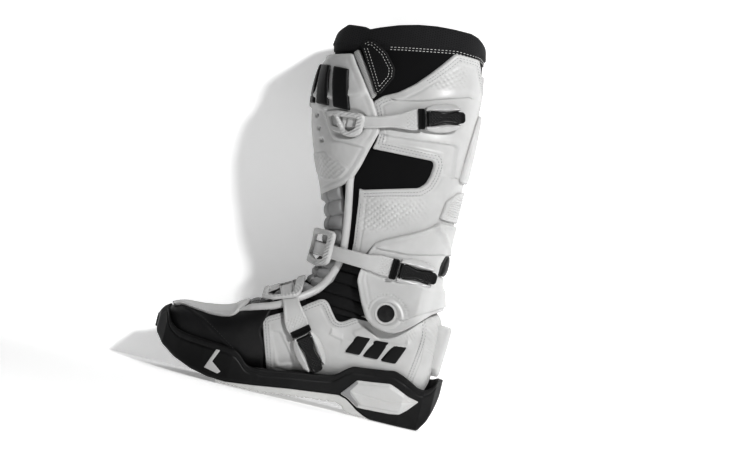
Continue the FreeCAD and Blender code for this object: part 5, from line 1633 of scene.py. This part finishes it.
# ------------------------------------------------------------------ shin
@dataclass
class ShinPlate:
    """Opening shin plate with its badge bars, strap receiver and the closure that shuts the cuff."""
    base: float = 4.0
    wall: float = 3.0

    def build(self, shop: Workshop) -> None:
        """Makes every piece that swings with the shin plate."""
        ring = SHAFT.trace([(-51, 354, -1), (-35, 357.5, -1), (-20, 361, -1), (-15, 352, -1), (12, 317, -1),
                            (18, 307.5, -1), (25.5, 292, -1), (25.5, 288, -1), (20, 270, -1), (15, 251, -1),
                            (9.5, 236, -1), (0, 226.5, -1), (-10, 219.5, -1), (-17.5, 214, -1),
                            (-24, 214, -1), (-24, 214, 1), (-18, 207, 1), (0.5, 207, 1), (0.5, 345, 1),
                            (-8, 356, 1), (-51, 354, 1)], off=6.5, soft=2)
        ridge = SHAFT.trace([(-52, 299, -0.1), (-35, 310, -1), (0, 322, -1), (3, 326, -1)], off=7,
                            closed=False)
        band = SHAFT.trace([(-34, 297), (-18, 272.5), (18, 270)], off=7, closed=False)
        emboss = SHAFT.trace([(-32, 236), (-36, 252), (-24, 256), (4, 246), (-2, 232),
                              (-16, 228)], off=7, soft=3)
        recess = SHAFT.trace([(-34, 299), (-4, 306), (8, 303), (10, 284), (2, 276),
                              (-14, 275)], off=7, soft=3)
        vents = np.concatenate([SHAFT.locate(np.array([x]), np.array([z]), -1, 7.0) for x, z in (
            (-41, 291.5), (-36, 279), (-30, 267.5), (-44, 274), (-38, 262))])

        def shape(u: Array, v: Array, d: Array) -> Array:
            holes = sum(-2.2 * np.exp(-(((u - a) ** 2 + (v - b) ** 2) / 4.4) ** 3) for a, b in vents)
            centre = 1.0 * np.exp(-(np.abs(u) / 26) ** 4) * ease((v - 296) / 6) * ease((350 - v) / 8)
            return holes + centre
        relief = add_up(shape, swage(ridge, 2.3, 7.0), swage(band, 2.1, 6.0),
                        plateau(recess, -1.2, 3.0), plateau(emboss, 0.8, 1.2),
                        dots(emboss, 5.0, 1.2, -0.9, 2.0),
                        rim_bump(5.0, -0.5, 1.0))
        shop.fit(panel("shin_plate_skin", SHAFT, ring, self.base, self.wall, 1.05, 1.6, relief), WHITE_SHIN,
                 "shin",
                 "shin_plate")
        for k, middle in enumerate((-42, -25, -8, 9, 26)):
            bar = np.array([(middle - 9.5, 303), (middle + 3, 303), (middle + 10.5, 344), (middle - 2, 344)],
                           float)
            skin = panel(f"shin_bar_{k + 1}", SHAFT, soften(resample(bar, 0.8), 1), 7.6, 2.6, 1.0, 1.0)
            shop.fit(skin, BADGE_BLACK, "shin", *(["shin_badge"] if k == 0 else []))
        outer = SHAFT.trace([(-33, 297), (-20, 301), (-9, 300), (-9, 284), (-14, 278),
                             (-24, 279)], off=8.0, soft=2)
        middle = outer.mean(axis=0)
        slot = soften(middle + (outer - middle) * 0.5, 1)
        shop.fit(panel("strap_receiver_loop", SHAFT, outer, 7.0, 2.0, 0.8, 1.0, holes=[slot]), WHITE_SHIN,
                 "shin",
                 "strap_receiver")
        strip = SHAFT.trace([(-19.5, 362), (-15, 366.5), (14, 325.5), (10.5, 319.5)], off=6.0, soft=1)
        shop.fit(panel("closure_strip_tape", SHAFT, strip, 3.8, 3.0, 0.9, 0.8), STRIP_WHITE, "shin",
                 "closure_strip")
        tab = SHAFT.trace([(-13.5, 370.5), (-10, 377), (-1, 377.5), (14, 369), (26, 355), (27, 346),
                           (17.5, 326.5), (12.5, 326.5)], off=8.5, soft=1)
        shop.fit(panel("closure_tab_pad", SHAFT, tab, 7.0, 2.2, 0.8, 0.9,
                       add_up(rim_bump(4.2, -0.5, 0.5), lambda u, v, d:
                       0.3 * np.cos(2 * np.pi * v / 2.4) * ease((d - 5.5) / 1))), CLOSURE_BLACK, "shin",
                 "closure_tab")
        shop.fit(thread("closure_tab_stitch", SHAFT, [inset_line(tab, 2.0), inset_line(tab, 4.4)], 9.0, 2.8,
                        1.9, 0.65, 0.5),
                 THREAD_WHITE, "shin", slot="closure")


# ------------------------------------------------------------------ buckles
@dataclass
class Buckle:
    """One ratchet buckle: base with wings, waisted lever, adjuster, strap and clip."""
    number: int
    body: str
    carrier: Carrier
    origin: tuple[float, float]
    angle: float
    lift: float
    strap: Sequence[tuple]
    clip: Sequence[tuple]
    clip_slot: Sequence[tuple]
    clip_rise: float = 2.1
    pin_u: float = 8.0
    pin_n: float = 4.6
    lever_length: float = 36.0
    axes: dict = field(default_factory=dict)

    def frame(self) -> PlaneSurface:
        """The buckle's own plane at its origin: u along the lever, w across it, n outwards."""
        ca, sa = math.cos(math.radians(self.angle)), math.sin(math.radians(self.angle))
        (x, z), off = self.origin, self.lift - 2.2

        def reach(px: float, pz: float) -> float:
            uv = self.carrier.locate(np.array([px]), np.array([pz]), -1.0, off)
            return -self.carrier.point(uv[:, 0], uv[:, 1], np.array([off]))[0, 1]
        here, ahead = reach(x, z), reach(x + ca * 26, z + sa * 26)
        u = np.array([ca * 26, here - ahead, sa * 26])
        u /= np.linalg.norm(u)
        above, under = reach(x - sa * 6, z + ca * 6), reach(x + sa * 6, z - ca * 6)
        w = np.array([-sa * 12, under - above, ca * 12])
        w /= np.linalg.norm(w)
        n = np.cross(w, u)
        n /= np.linalg.norm(n)
        n = -n if n[1] > 0 else n
        w = np.cross(n, u)
        return PlaneSurface((x, -here, z), tuple(u), tuple(w), tuple(n))

    def block(self, name: str, outline: Sequence[tuple], low: float, high: float, finish: Finish, body: str,
              relief: Optional[Relief] = None, edge: float = 0.9, soft: int = 2, step: float = 0.6,
              nodes: Sequence[str] = (), holes: Sequence[Array] = ()) -> None:
        """Adds a rounded block with a plan outline in the buckle's plane."""
        ring = soften(resample(np.array(outline, float), 0.6), soft)
        piece = panel(name, self.axes["plane"], ring, low, high - low, step, edge, relief, holes)
        self.axes["shop"].fit(piece, finish, body, *nodes)

    def build(self, shop: Workshop) -> None:
        """Makes the five pieces of the buckle."""
        self.axes = {"plane": self.frame(), "shop": shop}
        n, name = self.number, f"buckle_{self.number}"
        end = self.pin_u + self.lever_length
        self.block(f"{name}_plate", [(4, -9.6), (16, -9.6), (end - 4, -7), (end - 4, 7), (16, 9.6),
                                     (4, 9.6)], -2.2, 1.2,
                   BUCKLE_WHITE, self.body, nodes=[f"buckle_{n}_base"])
        for side, tag in ((-1, "a"), (1, "b")):
            wing = [(3, side * 8.0), (5, side * 11.8), (14, side * 14.6), (27, side * 14.8),
                    (end - 8, side * 12.6), (end - 2.5, side * 9.2), (end - 4, side * 7.4), (26, side * 6.2),
                    (14, side * 7.4)]
            ridge = lambda u, v, d: -0.75 * np.abs(np.abs(v) - 9.6 + 0.05
                                                   * np.abs(u - 20)) - 0.05 * np.maximum(u - 27, 0)
            self.block(f"{name}_wing_{tag}", wing, -2.0, 6.8, BUCKLE_WHITE, self.body, ridge, 1.2, 1)
        self.lever(shop)
        teeth = lambda u, v, d: 0.5 * np.cos(2 * np.pi * u / 1.7) * ease(d / 1.2)
        self.block(f"strap_{n}_adjuster_block", [(-4.2, -10.6), (1.9, -10.6), (2.8, -7), (2.8, 7),
                                                 (1.9, 10.6), (-4.2, 10.6)],
                   2.6, 6.8, LEVER_BLACK, f"strap_{n}", teeth, 1.3, 1, 0.5, [f"strap_{n}_adjuster"])
        self.band(shop)

    def lever(self, shop: Workshop) -> None:
        """Lever: wide at both ends, with rows of dots in the two triangles and a ridge along the waist."""
        n = self.number
        side = [(5.2, 6.8), (11, 7.4), (16, 6.2), (22.5, 4.7), (29, 5.2), (36, 6.3), (42.5, 5.6), (44.5, 3.4)]
        outline = side + [(u, -w) for u, w in side[::-1]]

        def shape(u: Array, v: Array, d: Array) -> Array:
            fore = (np.abs(v) < (22 - u) * 0.5) & (u > 8)
            aft = (np.abs(v) < (u - 25) * 0.46) & (u < 39)
            tip = 0.9 * ease((u - 39) / 5)
            return (dots(None, 3.2, 0.75, 0.8)(u, v, d) * (fore | aft) * ease((d - 0.8) / 0.8)
                    + 0.45 * np.exp(-((d - 1.2) / 0.5) ** 2) + tip)
        self.block(f"buckle_{n}_lever_arm", outline, self.pin_n - 2.6, self.pin_n + 2.2, LEVER_BLACK,
                   f"lever_{n}", shape,
                   1.0, 1, 0.5, [f"buckle_{n}_lever"])

    def band(self, shop: Workshop) -> None:
        """Strap with a dotted zone where it widens, and the chunky clip at its end."""
        n, carrier = self.number, self.carrier
        ring = carrier.trace(self.strap, off=self.lift, soft=2)
        x, z = self.origin
        ca, sa = math.cos(math.radians(self.angle)), math.sin(math.radians(self.angle))

        def perforated(u: Array, v: Array, d: Array) -> Array:
            p = carrier.point(u, v, self.lift + 0 * u)
            along = (p[:, 0] - x) * ca + (p[:, 2] - z) * sa
            holes = dots(None, 3.8, 0.9, -0.9)(along, (p[:, 2] - z) * ca - (p[:, 0] - x) * sa, d)
            return holes * (along > -15.5) * (d > 1.6) + 0.3 * np.exp(-((d - 1.6) / 0.7) ** 2) * (along < -17)
        shop.fit(panel(f"strap_{n}_band", carrier, ring, self.lift, 2.0, 0.75, 0.7, perforated), STRAP_WHITE,
                 f"strap_{n}",
                 f"strap_{n}")
        clip = carrier.trace(self.clip, off=self.lift + 4, soft=2)
        slot = carrier.trace(self.clip_slot, off=self.lift + 4, soft=1)
        ribs = lambda u, v, d: 0.5 * np.cos(2 * np.pi * (u + v) / 3.4) * ease((d - 0.6) / 0.8)
        shop.fit(panel(f"strap_{n}_clip_loop", carrier, clip, self.lift + self.clip_rise, 3.6, 0.7, 1.8, ribs,
                       [slot]), CLIP_WHITE,
                 f"strap_{n}", f"strap_{n}_clip")


def buckles() -> list[Buckle]:
    """The three buckles from the calf down to the instep."""
    return [
        Buckle(1, "calf", SHAFT, (64.5, 312.0), 16.0, 7.4,
               [(-8, 285), (-8, 299), (8, 301), (25, 305), (42, 312), (56, 321), (60, 322), (64.5, 301),
                (60, 298.5), (38, 296.5), (20, 291)],
               [(-25, 297), (-20, 301), (-9, 301), (3, 303), (8, 300), (8, 284), (3, 278), (-7, 276),
                (-13, 279)],
               [(-19, 294.5), (-8, 295.5), (0, 297), (0, 286), (-5, 281.5), (-10, 283)]),
        Buckle(2, "calf", SHAFT, (74.5, 157.0), 0.0, 8.6,
               [(-16, 151.5), (-16, 165), (45, 164.5), (57, 167), (70, 167), (73, 165), (73, 149), (70, 147),
                (63, 147), (45, 149)],
               [(-12, 146, 0.7), (-12, 172, 0.7), (-13.4, 177, -0.4), (-9, 179, -1), (4, 179, -1),
                (7, 176, -1), (7, 147, -1), (4, 143, -1), (-6, 140, -1), (-13.2, 142, -0.4)],
               [(-12.8, 151, -0.5), (-12.8, 169, -0.5), (-9, 173, -1), (0.5, 173, -1), (0.5, 149, -1),
                (-8, 146.5, -1)]),
        Buckle(3, "foot", FOOT, (-3.5, 71.0), -53.0, 5.6,
               [(-37, 111), (-28, 124), (-20, 113), (-11, 99), (0, 85), (4, 77), (-12, 64.5), (-18, 70),
                (-22, 77), (-27, 92)],
               [(-52, 96, 0.9), (-42, 101, 1), (-31, 106, 1), (-21, 111, 0.8), (-12, 112, -1), (-15, 105, -1),
                (-38, 97, -1), (-50, 96, -1)],
               [(-46, 99, 0.4), (-36, 104, 0.5), (-25, 109, 0.4), (-20.5, 108, -1), (-37, 101, -1),
                (-45, 98.5, -0.9)], 2.9)]


@dataclass
class InnerStraps:
    """Fixed ends of the two lower straps on the inner side."""

    def build(self, shop: Workshop) -> None:
        """Makes both strap ends."""
        for number, carrier, body, lift, outline in (
                (2, SHAFT, "calf", 8.6, [(-16, 152), (-16, 166), (48, 163), (50, 160), (50, 155), (48, 152)]),
                (3, FOOT, "foot", 5.6, [(-50, 100), (-38, 120), (-18, 126), (-4, 112), (22, 110), (24, 104),
                                        (20, 98), (-10, 96), (-30, 92)])):
            ring = carrier.trace(outline, Side.INNER, lift, 2)
            ribs = lambda u, v, d: 0.35 * np.cos(2 * np.pi * u / 2.4) * ease((d - 2.4) / 1)
            shop.fit(panel(f"inner_strap_{number}_band", carrier, ring, lift, 2.0, 0.8, 0.7, ribs),
                     STRAP_WHITE, body,
                     f"inner_strap_{number}")


# ------------------------------------------------------------------ studio
@dataclass
class Studio:
    """Pale floor and backdrop, soft lights and the camera."""
    tilt: float = 13.9
    distance: float = 3.5
    span: float = 0.78
    centre: tuple[float, float, float] = (44.4, 0.0, 195.6)

    def build(self) -> None:
        """Sets the stage."""
        c, s = math.cos(math.radians(self.tilt)), math.sin(math.radians(self.tilt))
        camera = bpy.data.objects.new("camera", bpy.data.cameras.new("camera"))
        bpy.context.scene.collection.objects.link(camera)
        aim = Vector(((np.array(self.centre) + SHIFT) * MM).tolist())
        right, up, back = Vector((c, 0, s)), Vector((-s, 0, c)), Vector((0, -1, 0))
        camera.matrix_world = (Matrix.Translation(aim + back * self.distance)
                               @ Matrix((right, up, back)).transposed().to_4x4())
        camera.data.lens, camera.data.sensor_width = 36 * self.distance / self.span, 36
        bpy.context.scene.camera = camera
        world = bpy.data.worlds.new("pale_room")
        world.use_nodes = True
        nodes, links = world.node_tree.nodes, world.node_tree.links
        strength = nodes.new("ShaderNodeMapRange")
        strength.inputs["To Min"].default_value, strength.inputs["To Max"].default_value = 0.06, 0.9
        links.new(nodes.new("ShaderNodeLightPath").outputs["Is Camera Ray"], strength.inputs["Value"])
        links.new(strength.outputs["Result"], nodes["Background"].inputs["Strength"])
        nodes["Background"].inputs["Color"].default_value = (1.0, 1.0, 1.0, 1.0)
        bpy.context.scene.world = world
        bpy.context.scene.view_settings.view_transform = "Standard"
        bpy.context.scene.view_settings.gamma = 0.78
        self.lamp("key", (1.15, -1.9, 1.6), 52.0, 0.2)
        self.lamp("rim", (1.9, -0.25, 1.5), 8.0, 0.5)
        self.lamp("back_fill", (0.2, 1.9, 1.4), 16.0, 1.2)
        self.sheet("floor", [(-3, -3, -0.0006), (3, -3, -0.0006), (3, 3, -0.0006), (-3, 3, -0.0006)])
        self.sheet("backdrop",
                   [(-0.5, 0.085, -0.2), (0.54, 0.085, -0.2), (0.54, 0.085, 0.6), (-0.5, 0.085, 0.6)])

    def sheet(self, name: str, corners: list[tuple]) -> None:
        """Pale sheet of the stage; a sheet other than the floor is there only from its front, so that the
        boot shows from behind.
        """
        mesh = bpy.data.meshes.new(name)
        mesh.from_pydata(corners, [], [(0, 1, 2, 3)])
        obj = bpy.data.objects.new(name, mesh)
        bpy.context.scene.collection.objects.link(obj)
        material = bpy.data.materials.new(f"pale_{name}")
        material.use_nodes = True
        nodes, links = material.node_tree.nodes, material.node_tree.links
        shader = nodes["Principled BSDF"]
        shader.inputs["Base Color"].default_value = (0.9, 0.9, 0.9, 1.0)
        shader.inputs["Emission Color"].default_value = (1.0, 1.0, 1.0, 1.0)
        shader.inputs["Emission Strength"].default_value = 0.32
        shader.inputs["Roughness"].default_value = 0.95
        shader.inputs["Specular IOR Level"].default_value = 0.1
        if name != "floor":
            clear, mix = nodes.new("ShaderNodeBsdfTransparent"), nodes.new("ShaderNodeMixShader")
            links.new(nodes.new("ShaderNodeNewGeometry").outputs["Backfacing"], mix.inputs[0])
            links.new(shader.outputs[0], mix.inputs[1])
            links.new(clear.outputs[0], mix.inputs[2])
            links.new(mix.outputs[0], nodes["Material Output"].inputs["Surface"])
        mesh.materials.append(material)

    def lamp(self, name: str, place: tuple[float, float, float], power: float, size: float) -> None:
        """Adds a square soft light that looks at the boot's middle."""
        data = bpy.data.lights.new(name, "AREA")
        data.energy, data.size = power, size
        lamp = bpy.data.objects.new(name, data)
        lamp.location = place
        lamp.rotation_euler = (Vector((0, 0, 0.2)) - Vector(place)).to_track_quat("-Z", "Y").to_euler()
        bpy.context.scene.collection.objects.link(lamp)


def main() -> None:
    """Builds the boot from the sole up, then the studio."""
    logging.basicConfig(level=logging.INFO, format="%(name)s: %(message)s")
    shop = Workshop()
    for part in (Sole(), FootUpper(), Tongue(), CalfShells(), Braces(), Collar(), ShinPlate(), *buckles(),
                 InnerStraps()):
        part.build(shop)
    for node in ("calf_lever_pins", "foot_lever_pin"):
        shop.dress_node(node, STEEL)
    Studio().build()
    bpy.context.view_layer.update()


if __name__ == "__main__":
    main()
